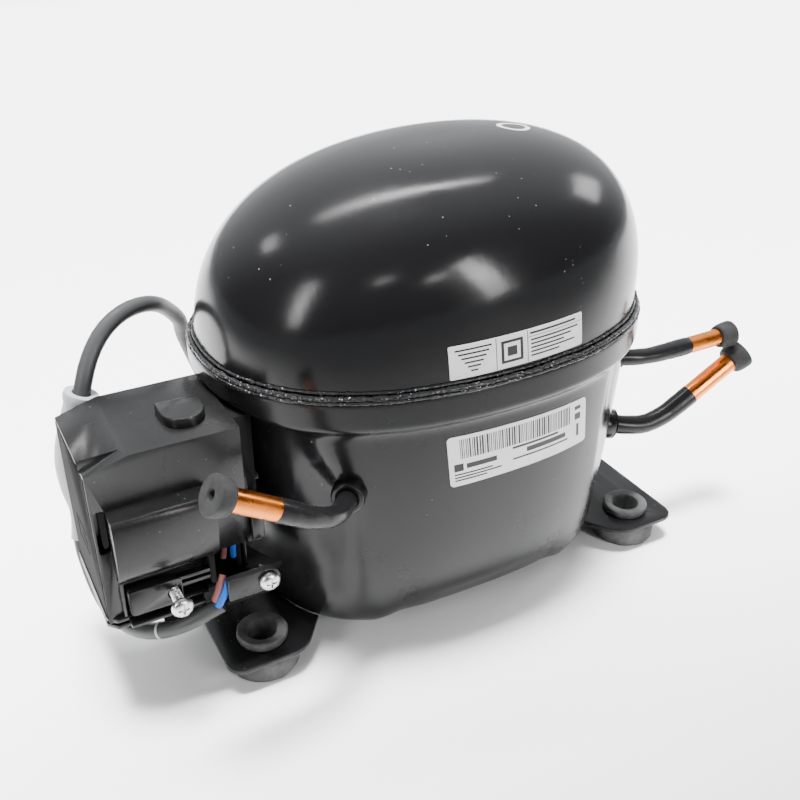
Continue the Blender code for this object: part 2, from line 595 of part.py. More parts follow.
def motor():
    x = SHAFT_X
    half = STACK_HALF
    corners = [(x - half, -half), (x + half, -half), (x + half, half), (x - half, half)]
    stack = solid("stator_core", prism(rounded_outline(corners, 12), STACK_LOW, STACK_HIGH), "steel")
    cut(stack, solid("stator_bore", rod_along((x, 0, 40), (0, 0, 1), STATOR_BORE_R, 60, 36), "steel"))
    windings = (("winding_lower", 38, STACK_LOW - GAP, WINDING_R),
                ("winding_upper", STACK_HIGH + GAP, 104, 38.5))
    for name, low, high, widest in windings:
        edge = widest - 2
        profile = [(31, low), (edge, low), (widest, (low + high) / 2), (edge, high), (31, high)]
        solid(name, turned(profile, (x, 0, 0), steps=32, ring=True), "enamel_wire")
    bore, foot, top = SHAFT_R + 0.4, STACK_LOW - 5, STACK_HIGH
    rotor = [(bore, foot), (ROTOR_R - 1, foot), (ROTOR_R, STACK_LOW), (ROTOR_R, top - 4),
             (ROTOR_R - 1, top), (15.4, top), (15.4, top - 1), (bore, top - 1)]
    solid("rotor", turned(rotor, (x, 0, 0), steps=28, ring=True), "aluminium")


def suspension():
    """Four springs that carry the motor, on seats fixed in the bottom of the shell."""
    points = SPRING_SIDES * SPRING_TURNS
    rise = SPRING_HIGH - SPRING_LOW - 2 * SPRING_WIRE
    corners = {"front_left": (-1, -1), "front_right": (1, -1), "rear_left": (-1, 1), "rear_right": (1, 1)}
    for name, (sx, sy) in corners.items():
        x, y = SHAFT_X + sx * SPRING_X, sy * SPRING_Y
        helix = []
        for k in range(points + 1):
            angle = 2 * math.pi * k / SPRING_SIDES
            z = SPRING_LOW + SPRING_WIRE + rise * k / points
            helix.append(Vector((x + SPRING_R * math.cos(angle), y + SPRING_R * math.sin(angle), z)))
        solid("spring_" + name, swept(helix, SPRING_WIRE, 4), "steel")
        rest = SPRING_LOW - GAP
        seat = [(0, 16), (4.5, 16), (6.5, 17.4), (6.5, rest), (4, rest), (4, 26), (2.5, 28), (0, 28)]
        solid("seat_" + name, turned(seat, (x, y, 0), steps=16), "white_plastic")


def discharge_line():
    """Bent pipe from the cylinder head down to the discharge outlet, inside the shell."""
    route = [(66.7, -10, 127), (71.5, -11, 125), (74, -14, 114), (71, -19, 101), (67, -22, 92),
             (68.6, -22, 86.8), (74, -22, 85.7)]
    solid("discharge_line", swept(smooth_route(route, 5.0), 2.4, 8), "copper")


def build():
    shell_upper()
    shell_lower()
    weld_seam()
    base_plate("base_plate_left", -1)
    base_plate("base_plate_right", 1)
    for end, sx in (("left", -1), ("right", 1)):
        grommet("grommet_front_" + end, sx * FOOT_X, -FOOT_Y)
        grommet("grommet_rear_" + end, sx * FOOT_X, FOOT_Y)
    for name, tube in TUBES.items():
        tube_and_plug(name, tube)
    terminal()
    starting_gear()
    electrical_cover()
    cord_fixings()
    lead_wires()
    supply_lead()
    lead_coil()
    crankcase()
    crankshaft()
    piston_and_rod()
    head_end()
    motor()
    suspension()
    discharge_line()


clear_scene()
FRAME = make_frame()
MATERIALS = make_materials()
build()
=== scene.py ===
"""Hermetic compressor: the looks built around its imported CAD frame.

Places are written in millimetres from the centre of the shell, as in the CAD source, and at() turns
them into metres in the frame.
"""

import math

import bmesh
import bpy
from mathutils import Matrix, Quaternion, Vector, noise


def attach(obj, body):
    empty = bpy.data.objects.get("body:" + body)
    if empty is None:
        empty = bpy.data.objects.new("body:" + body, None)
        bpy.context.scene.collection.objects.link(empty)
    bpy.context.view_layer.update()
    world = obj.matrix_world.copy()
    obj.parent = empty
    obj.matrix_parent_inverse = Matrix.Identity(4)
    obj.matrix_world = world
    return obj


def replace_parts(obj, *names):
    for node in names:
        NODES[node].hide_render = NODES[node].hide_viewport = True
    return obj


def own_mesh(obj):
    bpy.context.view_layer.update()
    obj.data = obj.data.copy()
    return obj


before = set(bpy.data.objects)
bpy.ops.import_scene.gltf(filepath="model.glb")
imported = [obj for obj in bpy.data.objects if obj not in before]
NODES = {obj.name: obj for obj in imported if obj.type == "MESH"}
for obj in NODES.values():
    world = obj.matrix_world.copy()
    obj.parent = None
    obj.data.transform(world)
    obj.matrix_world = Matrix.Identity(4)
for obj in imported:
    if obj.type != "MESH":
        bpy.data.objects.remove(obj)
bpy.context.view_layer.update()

MM = 0.001
SHELL_X, SHELL_Y, FLOOR = -4.7, 6.0, 3.3


def at(x, y, z):
    """A point in the frame, in metres, from millimetres about the shell's centre."""
    return Vector((x + SHELL_X, y + SHELL_Y, z - FLOOR)) * MM


# ---- camera, light and floor

CAMERA_PLACE = Vector((-0.1763, -0.2972, 0.2678))
CAMERA_TURN = (math.radians(90 - 29.4), 0.0, math.radians(-28.3))
LENS, SENSOR = 44.65, 36.0


def new_node(tree, kind, **inputs):
    """A node whose sockets are linked, or set to a constant. Their names have _ for each space."""
    node = tree.nodes.new("ShaderNode" + kind)
    for name, value in inputs.items():
        socket = node.inputs[name.replace("_", " ")]
        if isinstance(value, bpy.types.NodeSocket):
            tree.links.new(value, socket)
        else:
            socket.default_value = value
    return node


def add(name, data):
    """A new object in the scene that holds this data."""
    obj = bpy.data.objects.new(name, data)
    bpy.context.scene.collection.objects.link(obj)
    return obj


def make_camera():
    data = bpy.data.cameras.new("photo_camera")
    data.lens = LENS
    data.sensor_width = SENSOR
    camera = add("photo_camera", data)
    camera.location = CAMERA_PLACE
    camera.rotation_euler = CAMERA_TURN
    bpy.context.scene.camera = camera


FILL_PLACE, FILL_HEIGHT = (0.55, 0.93), 1.3
LAMP_AIM = (0, 0, 0.1)
LAMPS = (
    # name, place and size in metres, watts, roll in degrees
    ("overhead_strip", (0.08, 0.33, 1.1), (0.9, 0.075), 1.15, 0),
    ("left_strip", (-0.9, -0.36, 0.5), (0.12, 0.55), 0.58, 0),
    ("front_strip", (0.31, -0.89, 0.4), (0.14, 0.6), 0.8, 20),
    ("front_spot", (0.02, -0.93, 0.58), (0.13, 0.06), 0.045, 0),
    ("side_spot", (-0.36, -0.8, 0.72), (0.13, 0.06), 0.04, 0),
    ("right_softbox", (0.93, 0.05, 0.6), (0.3, 0.25), 0.25, 0),
    ("corner_softbox", (-0.64, 0.54, 0.8), (0.2, 0.15), 0.11, 0),
)
SKY_WAY = (0.31, 0.66, 0.68)
SKY_FADE = {"From_Min": 0.15, "From_Max": 0.85, "To_Min": 0.03, "To_Max": 1.35}


def area_light(name, place, aim, size, power, spread=60, reflected=True, roll=0):
    data = bpy.data.lights.new(name, "AREA")
    data.shape = "RECTANGLE"
    data.size, data.size_y = size
    data.energy = power
    data.spread = math.radians(spread)
    lamp = add(name, data)
    lamp.location = place
    turn = (Vector(aim) - Vector(place)).to_track_quat("-Z", "Y")
    lamp.rotation_euler = (turn @ Quaternion((0, 0, 1), math.radians(roll))).to_euler()
    lamp.visible_glossy = reflected


def make_lights():
    """Lamps where the gloss shows them, and one wide, narrow-beamed fill straight above the floor."""
    area_light("table_fill", (*FILL_PLACE, FILL_HEIGHT), (*FILL_PLACE, 0), (2.2, 2.1), 92, 24, False)
    for name, place, size, power, roll in LAMPS:
        area_light(name, place, LAMP_AIM, size, power, roll=roll)


def make_sky():
    """A world that is bright on the side away from the camera and dark behind it."""
    world = bpy.data.worlds.new("studio")
    world.use_nodes = True
    tree = world.node_tree
    facing = tree.nodes.new("ShaderNodeVectorMath")
    facing.operation = "DOT_PRODUCT"
    facing.inputs[1].default_value = SKY_WAY
    tree.links.new(tree.nodes.new("ShaderNodeTexCoord").outputs["Generated"], facing.inputs[0])
    strength = new_node(tree, "MapRange", Value=facing.outputs["Value"], **SKY_FADE)
    strength.interpolation_type = "SMOOTHSTEP"
    tree.links.new(strength.outputs["Result"], tree.nodes["Background"].inputs["Strength"])
    tree.nodes["Background"].inputs["Color"].default_value = (0.96, 0.98, 1.0, 1)
    bpy.context.scene.world = world


# ---- materials

LOOKS = {}
PAINT_SPECULAR, MOULDED_SPECULAR, DULL_SPECULAR = 0.27, 0.33, 0.06


class Look:
    """A node material under construction, kept in LOOKS: its tree, its shader and its object coordinates."""

    def __init__(self, name, colour, roughness, metallic=0.0, specular=0.5):
        self.material = LOOKS[name] = bpy.data.materials.new(name)
        self.material.use_nodes = True
        self.tree = self.material.node_tree
        self.shader = self.tree.nodes["Principled BSDF"]
        for socket, value in (("Metallic", metallic), ("Specular IOR Level", specular),
                              ("Base Color", (*colour, 1)), ("Roughness", roughness)):
            self.shader.inputs[socket].default_value = value
        self.place = self.tree.nodes.new("ShaderNodeTexCoord").outputs["Object"]
        self.normal = None

    def wire(self, source, target):
        self.tree.links.new(source, target)

    def noise(self, scale, detail=3.0, roughness=0.5, stretch=None, distortion=0.0):
        place = self.place
        if stretch:
            place = new_node(self.tree, "Mapping", Vector=place, Scale=stretch).outputs["Vector"]
        node = new_node(self.tree, "TexNoise", Vector=place, Scale=scale, Detail=detail, Roughness=roughness,
                        Distortion=distortion)
        return node.outputs["Fac"]

    def specks(self, scale, size):
        """1 in small round specks and 0 between them."""
        node = new_node(self.tree, "TexVoronoi", Vector=self.place, Scale=scale)
        return self.ramp(node.outputs["Distance"], (size * 0.5, 1.0), (size, 0.0))

    def ramp(self, source, low, high):
        """Source mapped from (value, result) low to (value, result) high."""
        node = new_node(self.tree, "MapRange", Value=source, From_Min=low[0], To_Min=low[1], From_Max=high[0],
                        To_Max=high[1])
        return node.outputs["Result"]

    def tint(self, mask, colour):
        """Colour where the mask is 1, over what the base colour was."""
        node = self.tree.nodes.new("ShaderNodeMix")
        node.data_type = "RGBA"
        base = self.shader.inputs["Base Color"]
        if base.is_linked:
            self.wire(base.links[0].from_socket, node.inputs["A"])
        else:
            node.inputs["A"].default_value = base.default_value
        node.inputs["B"].default_value = (*colour, 1)
        self.wire(mask, node.inputs["Factor"])
        self.wire(node.outputs["Result"], base)

    def film(self, source, start, full, most, colour):
        """A thin film of another colour that grows where the source is above start."""
        self.tint(self.ramp(source, (start, 0.0), (full, most)), colour)

    def dust(self, scale, size, patches, start, full, colour):
        """Specks of another colour, gathered in patches: dust on paint and plastic, and painted glints on the
        weld bead.
        """
        node = self.tree.nodes.new("ShaderNodeMath")
        node.operation = "MULTIPLY"
        self.wire(self.specks(scale, size), node.inputs[0])
        self.wire(self.ramp(self.noise(patches), (start, 0.0), (full, 1.0)), node.inputs[1])
        self.tint(node.outputs[0], colour)

    def roughen(self, source, low, high):
        self.wire(self.ramp(source, low, high), self.shader.inputs["Roughness"])

    def bump(self, height, strength, distance):
        node = new_node(self.tree, "Bump", Height=height, Strength=strength, Distance=distance)
        if self.normal:
            self.wire(self.normal, node.inputs["Normal"])
        self.normal = node.outputs["Normal"]
        self.wire(self.normal, self.shader.inputs["Normal"])


def grey(value):
    return (value, value, value)


def painted(name, low, high, wear=0.0, peel=0.035, waves=0.02):
    """Gloss black enamel, its roughness from low to high, with orange peel, dust specks and scuffs."""
    look = Look(name, (0.0065, 0.0065, 0.007), low, specular=PAINT_SPECULAR)
    look.roughen(look.noise(18.0, 5.0, 0.6), (0.35, low), (0.7, high))
    look.dust(260.0, 0.09, 45.0, 0.52, 0.6, grey(0.16))
    if wear:
        look.film(look.noise(70.0, 4.0, 0.7, (1, 1, 0.15), 1.5), 0.66, 0.72, wear, grey(0.25))
    look.bump(look.noise(330.0, 2.0), peel, 0.0006)
    if waves:
        look.bump(look.noise(26.0, 2.0), waves, 0.004)


def moulded(name, colour, roughness, grain=0.08):
    """Moulded plastic: fine grain, slight sheen changes and light scuffs."""
    look = Look(name, colour, roughness, specular=MOULDED_SPECULAR)
    look.roughen(look.noise(30.0, 4.0), (0.3, roughness * 0.85), (0.7, roughness * 1.2))
    look.film(look.noise(22.0, 5.0, 0.65), 0.45, 0.8, 0.6, tuple(min(1.0, c * 1.4 + 0.005) for c in colour))
    look.dust(300.0, 0.08, 60.0, 0.5, 0.58, tuple(min(1.0, c + 0.12) for c in colour))
    look.bump(look.noise(900.0, 2.0), grain, 0.0003)


def dull(name):
    """Rough-moulded black plastic with almost no gloss."""
    look = Look(name, (0.008, 0.008, 0.0083), 0.8, specular=DULL_SPECULAR)
    look.film(look.noise(40.0, 5.0, 0.65), 0.45, 0.8, 0.6, grey(0.018))
    look.bump(look.noise(1100.0, 3.0), 0.2, 0.0003)


def rubber(name, dust):
    """Matt rubber, greyer the more dust lies on it."""
    look = Look(name, (0.03 * dust, 0.03 * dust, 0.031 * dust), 0.65)
    look.roughen(look.noise(60.0, 4.0), (0.3, 0.6), (0.7, 0.85))
    look.film(look.noise(90.0, 5.0, 0.7), 0.42, 0.75, 0.9, grey(0.1 * dust))
    look.bump(look.noise(700.0, 4.0), 0.15, 0.0004)


def metal(name, colour, roughness, stretch=None, dark=0.5, grain=0.05):
    """Bare metal with fine marks and a duller, darker film in patches."""
    look = Look(name, colour, roughness, 1.0)
    look.roughen(look.noise(120.0, 5.0, 0.6, stretch), (0.3, roughness * 0.7), (0.7, roughness * 1.5))
    look.film(look.noise(70.0, 5.0, 0.6, stretch), 0.5, 0.8, 0.7, tuple(c * dark for c in colour))
    look.bump(look.noise(800.0, 3.0, 0.5, stretch), grain, 0.0003)


def bead_look(name):
    """Weld bead under thick enamel: ripples, pits, and bright grains that are painted glints."""
    look = Look(name, (0.008, 0.008, 0.0085), 0.16)
    look.roughen(look.noise(150.0, 4.0), (0.3, 0.1), (0.7, 0.4))
    # Painted highlight: these bright specks are glints of light on the bead's grains, not dust.
    look.dust(800.0, 0.25, 60.0, 0.5, 0.6, grey(0.32))
    look.bump(look.noise(480.0, 4.0, 0.6), 0.45, 0.0009)


def sleeve_look(name):
    """Milky, slightly see-through sleeving."""
    look = Look(name, (0.4, 0.41, 0.42), 0.35)
    look.shader.inputs["Transmission Weight"].default_value = 0.25
    look.roughen(look.noise(80.0, 3.0), (0.3, 0.3), (0.7, 0.5))
    look.film(look.noise(60.0, 4.0), 0.45, 0.75, 0.5, (0.27, 0.275, 0.28))
    look.bump(look.noise(300.0, 2.0), 0.08, 0.0004)


def label_look(name):
    """Slightly soiled white film."""
    look = Look(name, (0.72, 0.72, 0.71), 0.28)
    look.roughen(look.noise(60.0, 3.0), (0.3, 0.22), (0.7, 0.42))
    look.film(look.noise(90.0, 4.0), 0.55, 0.8, 0.5, (0.6, 0.6, 0.59))
    look.bump(look.noise(200.0, 2.0), 0.05, 0.0003)


painted("black_paint", 0.128, 0.24)
painted("lower_paint", 0.16, 0.32, peel=0.03, waves=0)
painted("plate_paint", 0.224, 0.42, 0.5)
painted("tube_paint", 0.192, 0.36, 0.3)
bead_look("weld_paint")
moulded("black_plastic", (0.006, 0.006, 0.0062), 0.27)
dull("end_plastic")
rubber("rubber", 1.0)
rubber("cap_rubber", 0.35)
metal("copper", (0.93, 0.27, 0.045), 0.26, dark=0.6)
metal("zinc", (0.72, 0.72, 0.7), 0.3)
metal("steel", (0.42, 0.42, 0.43), 0.38)
metal("cast_iron", grey(0.2), 0.6, grain=0.3)
metal("aluminium", (0.6, 0.61, 0.62), 0.42, grain=0.15)
metal("enamel_wire", (0.55, 0.2, 0.08), 0.35, (1, 1, 6), 0.45, 0.5)
moulded("grey_pvc", (0.034, 0.035, 0.036), 0.42, 0.05)
sleeve_look("light_sleeve")
moulded("white_plastic", (0.72, 0.71, 0.67), 0.4)
moulded("brown_wire", (0.17, 0.06, 0.055), 0.4, 0.04)
moulded("blue_wire", (0.003, 0.085, 0.42), 0.4, 0.04)
label_look("label_film")
moulded("print_ink", (0.012, 0.012, 0.0125), 0.45, 0.02)
moulded("white_mark", grey(0.4), 0.5, 0.05)


# ---- mesh helpers


def mesh_of(name, points, faces):
    """A mesh from points in millimetres about the shell's centre, its faces turned outwards."""
    mesh = bpy.data.meshes.new(name)
    mesh.from_pydata([at(*p) for p in points], [], faces)
    bm = bmesh.new()
    bm.from_mesh(mesh)
    bmesh.ops.recalc_face_normals(bm, faces=bm.faces)
    bm.to_mesh(mesh)
    bm.free()
    return mesh


def shade(mesh, sharp):
    mesh.shade_smooth()
    mesh.set_sharp_from_angle(angle=math.radians(sharp))


def piece(name, surface, look, body="shell", sharp=35.0):
    """A visible piece from (points, faces), riding on a CAD body."""
    mesh = mesh_of(name, *surface)
    shade(mesh, sharp)
    mesh.materials.append(LOOKS[look])
    obj = add(name, mesh)
    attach(obj, body)
    return obj


def full_turn(steps):
    return [2 * math.pi * k / steps for k in range(steps)]


def half_turn(steps):
    """The angles of a half turn, without its ends."""
    return [math.pi * k / steps for k in range(1, steps)]


def joined(surfaces):
    """Several closed surfaces as one."""
    points, faces = [], []
    for more_points, more_faces in surfaces:
        shift = len(points)
        points += more_points
        faces += [tuple(i + shift for i in face) for face in more_faces]
    return points, faces


def skin(rings, loop=False):
    """A surface through rings of points. A ring of one point is a pole; loop joins last to first."""
    points = [Vector(p) for ring in rings for p in ring]
    starts = [sum(len(ring) for ring in rings[:i]) for i in range(len(rings))]
    pairs = [(i, i + 1) for i in range(len(rings) - 1)]
    if loop:
        pairs.append((len(rings) - 1, 0))
    faces = []
    for i, j in pairs:
        count = max(len(rings[i]), len(rings[j]))
        for k in range(count):
            m = (k + 1) % count
            if len(rings[i]) == 1:
                faces.append((starts[i], starts[j] + k, starts[j] + m))
            elif len(rings[j]) == 1:
                faces.append((starts[i] + k, starts[i] + m, starts[j]))
            else:
                faces.append((starts[i] + k, starts[i] + m, starts[j] + m, starts[j] + k))
    if not loop:
        for i in (0, len(rings) - 1):
            if len(rings[i]) > 1:
                faces.append(tuple(range(starts[i], starts[i] + len(rings[i]))))
    return points, faces


def circle(centre, axis, radius, steps):
    if radius == 0:
        return [centre]
    turn = Vector(axis).to_track_quat("Z", "Y")
    return [centre + turn @ Vector((radius * math.cos(a), radius * math.sin(a), 0)) for a in full_turn(steps)]


def turned(profile, centre=(0, 0, 0), axis=(0, 0, 1), steps=48, ring=False):
    axis = Vector(axis).normalized()
    return skin([circle(Vector(centre) + axis * h, axis, r, steps) for r, h in profile], loop=ring)


def block(low, high):
    (x0, y0, z0), (x1, y1, z1) = low, high
    return extruded([(x0, y0), (x1, y0), (x1, y1), (x0, y1)], "z", z0, z1)


def extruded(outline, axis, low, high):
    """A flat outline drawn out along an axis: its pairs are the other two coordinates, in order."""
    at_axis = "xyz".index(axis)
    return skin([[(*pair[:at_axis], level, *pair[at_axis:]) for pair in outline] for level in (low, high)])


def rounded_outline(corners, radius, steps=6):
    outline = []
    for i, corner in enumerate(corners):
        here = Vector(corner)
        into = Vector(corners[i - 1]) - here
        away = Vector(corners[(i + 1) % len(corners)]) - here
        start = here + into.normalized() * radius
        end = here + away.normalized() * radius
        for k in range(steps + 1):
            t = k / steps
            outline.append(tuple(start.lerp(here, t).lerp(here.lerp(end, t), t)))
    return outline


def smooth_route(points, spacing):
    pts = [Vector(p) for p in points]
    pts = [pts[0] * 2 - pts[1]] + pts + [pts[-1] * 2 - pts[-2]]
    route = []
    for p0, p1, p2, p3 in zip(pts, pts[1:], pts[2:], pts[3:]):
        pieces = max(1, round((p2 - p1).length / spacing))
        for k in range(pieces):
            t = k / pieces
            route.append(0.5 * (2 * p1 + (p2 - p0) * t + (2 * p0 - 5 * p1 + 4 * p2 - p3) * t * t
                                + (3 * p1 - p0 - 3 * p2 + p3) * t ** 3))
    route.append(pts[-2])
    return route


def swept(route, radii, sides, bore=0.0):
    """A round bar along a route, or a pipe where it has a bore. Radii is one number or one each."""
    if not hasattr(radii, "__len__"):
        radii = [radii] * len(route)
    ways = [(b - a).normalized() for a, b in zip(route, route[1:])]
    tangents = [ways[0]] + [(a + b).normalized() for a, b in zip(ways, ways[1:])] + [ways[-1]]
    across = tangents[0].orthogonal().normalized()
    outer, inner = [], []
    for point, tangent, radius in zip(route, tangents, radii):
        across = (across - tangent * across.dot(tangent)).normalized()
        other = tangent.cross(across)
        spokes = [across * math.cos(a) + other * math.sin(a) for a in full_turn(sides)]
        outer.append([point + s * radius for s in spokes])
        inner.append([point + s * bore for s in spokes])
    if bore:
        return skin(outer + inner[::-1], loop=True)
    return skin(outer)


def carve(obj, cuts=(), adds=(), bevel=0.0, segments=2):
    """Adds and cuts surfaces, bevels the edges and keeps the result as the piece's own mesh."""
    helpers = []
    for operation, surfaces in (("UNION", adds), ("DIFFERENCE", cuts)):
        for surface in surfaces:
            helpers.append(add("helper", mesh_of("helper", *surface)))
            modifier = obj.modifiers.new("boolean", "BOOLEAN")
            modifier.operation = operation
            modifier.solver = "EXACT"
            modifier.object = helpers[-1]
    modifier = obj.modifiers.new("bevel", "BEVEL")
    modifier.width = bevel * MM
    modifier.segments = segments
    modifier.limit_method = "ANGLE"
    modifier.angle_limit = math.radians(30)
    modifier.harden_normals = True
    bpy.context.view_layer.update()
    evaluated = obj.evaluated_get(bpy.context.evaluated_depsgraph_get())
    mesh = bpy.data.meshes.new_from_object(evaluated)
    obj.modifiers.clear()
    obj.data = mesh
    shade(mesh, 35.0)
    for helper in helpers:
        bpy.data.objects.remove(helper)
    return obj


def blocks(name, look, bevel, segments, cuts, *corners):
    """A piece of one or more blocks made into one, each from its low and its high corner."""
    first, *rest = [block(low, high) for low, high in corners]
    return carve(piece(name, first, look), cuts, rest, bevel, segments)


# ---- supply lead

CORD_R = 3.0
COIL_R, COIL_TURNS = 33.0, 2
COIL_X, COIL_Y = 30.0, 112.0
BAND_PLACE, BAND_HALF, BAND_PROUD = Vector((-121.5, -33.0, 31.9)), 0.45, 0.12
SLEEVE_ROUTE = [(-133.4, 13.4, 58), (-133.8, 13.2, 70), (-133.0, 13, 83), (-129.8, 13, 95), (-126.3, 13, 105)]
LEAD_START = [(-100.8, -42.2, 42.2), (-110.7, -40.3, 37.7), (-119.6, -35.3, 32.9), (-126.8, -26.4, 29),
              (-131.6, -15.4, 27.9), (-134.2, -4.8, 30.6), (-135.4, 4.4, 37.1), (-135.7, 10.6, 46.7)]
LEAD_END = [(-123.1, 15, 112.6), (-118.7, 18.4, 118.7), (-113, 22.5, 123), (-106, 27.1, 125.1),
            (-98.3, 32.2, 124.6), (-91.1, 38.3, 121.2), (-84.7, 47, 114.4), (-78.7, 54.6, 105.6),
            (-75.9, 61.9, 95.7), (-71.5, 67.5, 83), (-66.4, 72.6, 69.2), (-60.2, 77.1, 54.7),
            (-53.5, 81.1, 40.8), (-45.9, 84.2, 28.2), (-35, 85.6, 18.2), (-23.3, 85.4, 11),
            (-12.4, 83.2, 7.8), (-2, 81, 6.9), (8.2, 79.4, 6.7)]


def coil_route():
    """Two turns up from the floor, then round and down into the connector's end."""
    steps = 24 * COIL_TURNS
    low, rise = 6.7, 6.15 * COIL_TURNS
    points = []
    for k in range(steps + 1):
        angle = -math.pi / 2 + 2 * math.pi * COIL_TURNS * k / steps
        points.append((COIL_X + COIL_R * math.cos(angle), COIL_Y + COIL_R * math.sin(angle),
                       low + rise * k / steps))
    top, exit_z, bend = low + rise, 8.7, 29.0
    start_x = COIL_X + 14.5
    points.append((start_x - 5, COIL_Y - COIL_R, top))
    angles = [math.pi / 2 * k / 7 for k in range(1, 8)]
    run = [(start_x + bend * math.sin(a), COIL_Y - COIL_R + bend * (1 - math.cos(a))) for a in angles]
    run += [(start_x + bend, COIL_Y + on) for on in (-0.5, 4, 8.6)]
    for k, (x, y) in enumerate(run):
        fall = min(1.0, max(0.0, (k - 0.5) / 7.5))
        points.append((x, y, top + (exit_z - top) * (0.5 - 0.5 * math.cos(math.pi * fall))))
    return points


def lead_route():
    return smooth_route(LEAD_START + SLEEVE_ROUTE + LEAD_END, 4.0) + [Vector(p) for p in coil_route()]


def make_lead(sleeve, band):
    route = lead_route()
    curve = bpy.data.curves.new("supply_lead", "CURVE")
    curve.dimensions = "3D"
    curve.bevel_depth = CORD_R * MM
    curve.bevel_resolution = 8
    curve.use_fill_caps = True
    spline = curve.splines.new("POLY")
    spline.points.add(len(route) - 1)
    for point, place in zip(spline.points, route):
        point.co = (*at(*place), 1.0)
    spline.use_smooth = True
    curve.materials.append(LOOKS["grey_pvc"])
    lead = add("supply_lead", curve)
    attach(lead, "shell")
    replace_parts(lead, "supply_cord", "cord_coil")


FLOOR_HALF = 12.0


def make_floor():
    look = Look("floor_paper", grey(0.9), 0.8)
    look.tint(look.ramp(look.noise(3.0, 2.0), (0.4, 0.0), (0.7, 0.3)), grey(0.88))
    corners = [(x * FLOOR_HALF, y * FLOOR_HALF, 0) for x, y in ((-1, -1), (1, -1), (1, 1), (-1, 1))]
    mesh = bpy.data.meshes.new("floor")
    mesh.from_pydata(corners, [], [(0, 1, 2, 3)])
    mesh.materials.append(look.material)
    add("floor", mesh)


# ---- welded shell

RIM_LONG, RIM_WIDE, RIM_Z = 88.4, 65.0, 114.8
DOME_LONG, DOME_WIDE, DOME_RISE, DOME_FOOT_Z = 85.6, 62.5, 63.8, 117.2
DOME_ROUND, DOME_TILT, DOME_SHIFT_X, DOME_SHIFT_Y = 2.65, 0.05, 4.7, -2.6
WALL_LONG, WALL_WIDE, BELT_FOOT_Z = 85.4, 62.6, 98.2
BOTTOM_Z, LONG_TAPER, WIDE_TAPER, LOWER_ROUND = 4.8, 8.5, 6.5, 7.0
BOTTOM_LIFT, SIDE_LIFT, ARCH_HALF, ARCH_EASE = 4.5, 5.5, 44.0, 13.0
SIDE_START, SIDE_EASE = 46.0, 7.0
SHEET = 3.0
OVAL_POWER = 2.3
SHELL_STEPS = 240


def smooth(t):
    t = min(1.0, max(0.0, t))
    return t * t * (3 - 2 * t)


def superellipse(angle, half_long, half_wide, power):
    c, s = math.cos(angle), math.sin(angle)
    return (half_long * math.copysign(abs(c) ** (2 / power), c),
            half_wide * math.copysign(abs(s) ** (2 / power), s))


def oval(half_long, half_wide, z, power=OVAL_POWER, centre=(0, 0), steps=SHELL_STEPS):
    ring = [superellipse(angle, half_long, half_wide, power) for angle in full_turn(steps)]
    return [(centre[0] + x, centre[1] + y, z) for x, y in ring]


def dome_ring(t, inset=0.0):
    """A level ring of the dome, from its foot at t = 0 to its crown at t = 1."""
    turn = t * math.pi / 2
    out = math.cos(turn) ** (2 / DOME_ROUND)
    up = math.sin(turn) ** (2 / DOME_ROUND)
    centre = (DOME_SHIFT_X * up, DOME_SHIFT_Y * up)
    if t == 1.0:
        return [(*centre, DOME_FOOT_Z + DOME_RISE + DOME_TILT * centre[0] - inset)]
    ring = oval((DOME_LONG - inset) * out, (DOME_WIDE - inset) * out, 0, OVAL_POWER - 0.25 * up, centre)
    return [(x, y, DOME_FOOT_Z + up * (DOME_RISE - inset + DOME_TILT * x)) for x, y, _ in ring]


def make_dome():
    edge_z = RIM_Z - 6.7
    steps = [0.0] + [0.012 * 1.42 ** k for k in range(5)] + [0.075 + 0.925 * k / 40 for k in range(41)]
    outer = [oval(DOME_LONG, DOME_WIDE, z) for z in (edge_z, RIM_Z + 0.6)] + [dome_ring(t) for t in steps]
    inner = [oval(DOME_LONG - SHEET, DOME_WIDE - SHEET, edge_z)]
    inner += [dome_ring(k / 10, SHEET) for k in range(11)]
    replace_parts(piece("dome", skin(outer[::-1] + inner), "black_paint", sharp=50), "shell_upper")


def lower_ring(t, inset=0.0):
    """A ring of the lower shell, from below the belt at t = 0 to the middle of its bottom at t = 1."""
    turn = t * math.pi / 2
    out = math.cos(turn) ** (2 / LOWER_ROUND)
    down = math.sin(turn) ** (2 / LOWER_ROUND)
    low = BOTTOM_Z + inset
    if t == 1.0:
        return [(0, 0, low + BOTTOM_LIFT)]
    long = (WALL_LONG - inset - LONG_TAPER * down) * out
    wide = (WALL_WIDE - inset - WIDE_TAPER * down) * out
    z = BELT_FOOT_Z - (BELT_FOOT_Z - low) * down
    ring = oval(long, wide, z, OVAL_POWER + 0.4 * down)
    return [(x, y, z + down ** 4 * bottom_arch(x, y)) for x, y, _ in ring]


def bottom_arch(x, y):
    """How far the shell's bottom is raised between its two lower ends, and most along its sides."""
    lift = BOTTOM_LIFT + SIDE_LIFT * smooth((abs(y) - SIDE_START) / SIDE_EASE)
    return lift * smooth((ARCH_HALF - abs(x)) / ARCH_EASE)


def pressed(ring):
    """The ring with the shell's ends pressed in below an arched crease, deepest beside the cover."""
    points = []
    for x, y, z in ring:
        if x < 0:
            start = 48.0 + 13.0 * smooth((z - 66.0) / 34.0)
            along = smooth((-x - start) / 12.0)
        else:
            start = 50.0
            along = smooth((x - start) / 9.0) * (1 - 0.85 * smooth((x - 64.0) / 14.0))
        crease = BELT_FOOT_Z + 4.0 + 5.6 * smooth((abs(x) - start) / 32.0)
        depth = 3.4 * along * smooth((crease - z) / 2.4) * smooth((z - 14.0) / 26.0)
        reach = math.hypot(x, y)
        keep = 1 - depth / reach if reach > 20 else 1.0
        points.append((x * keep, y * keep, z))
    return points


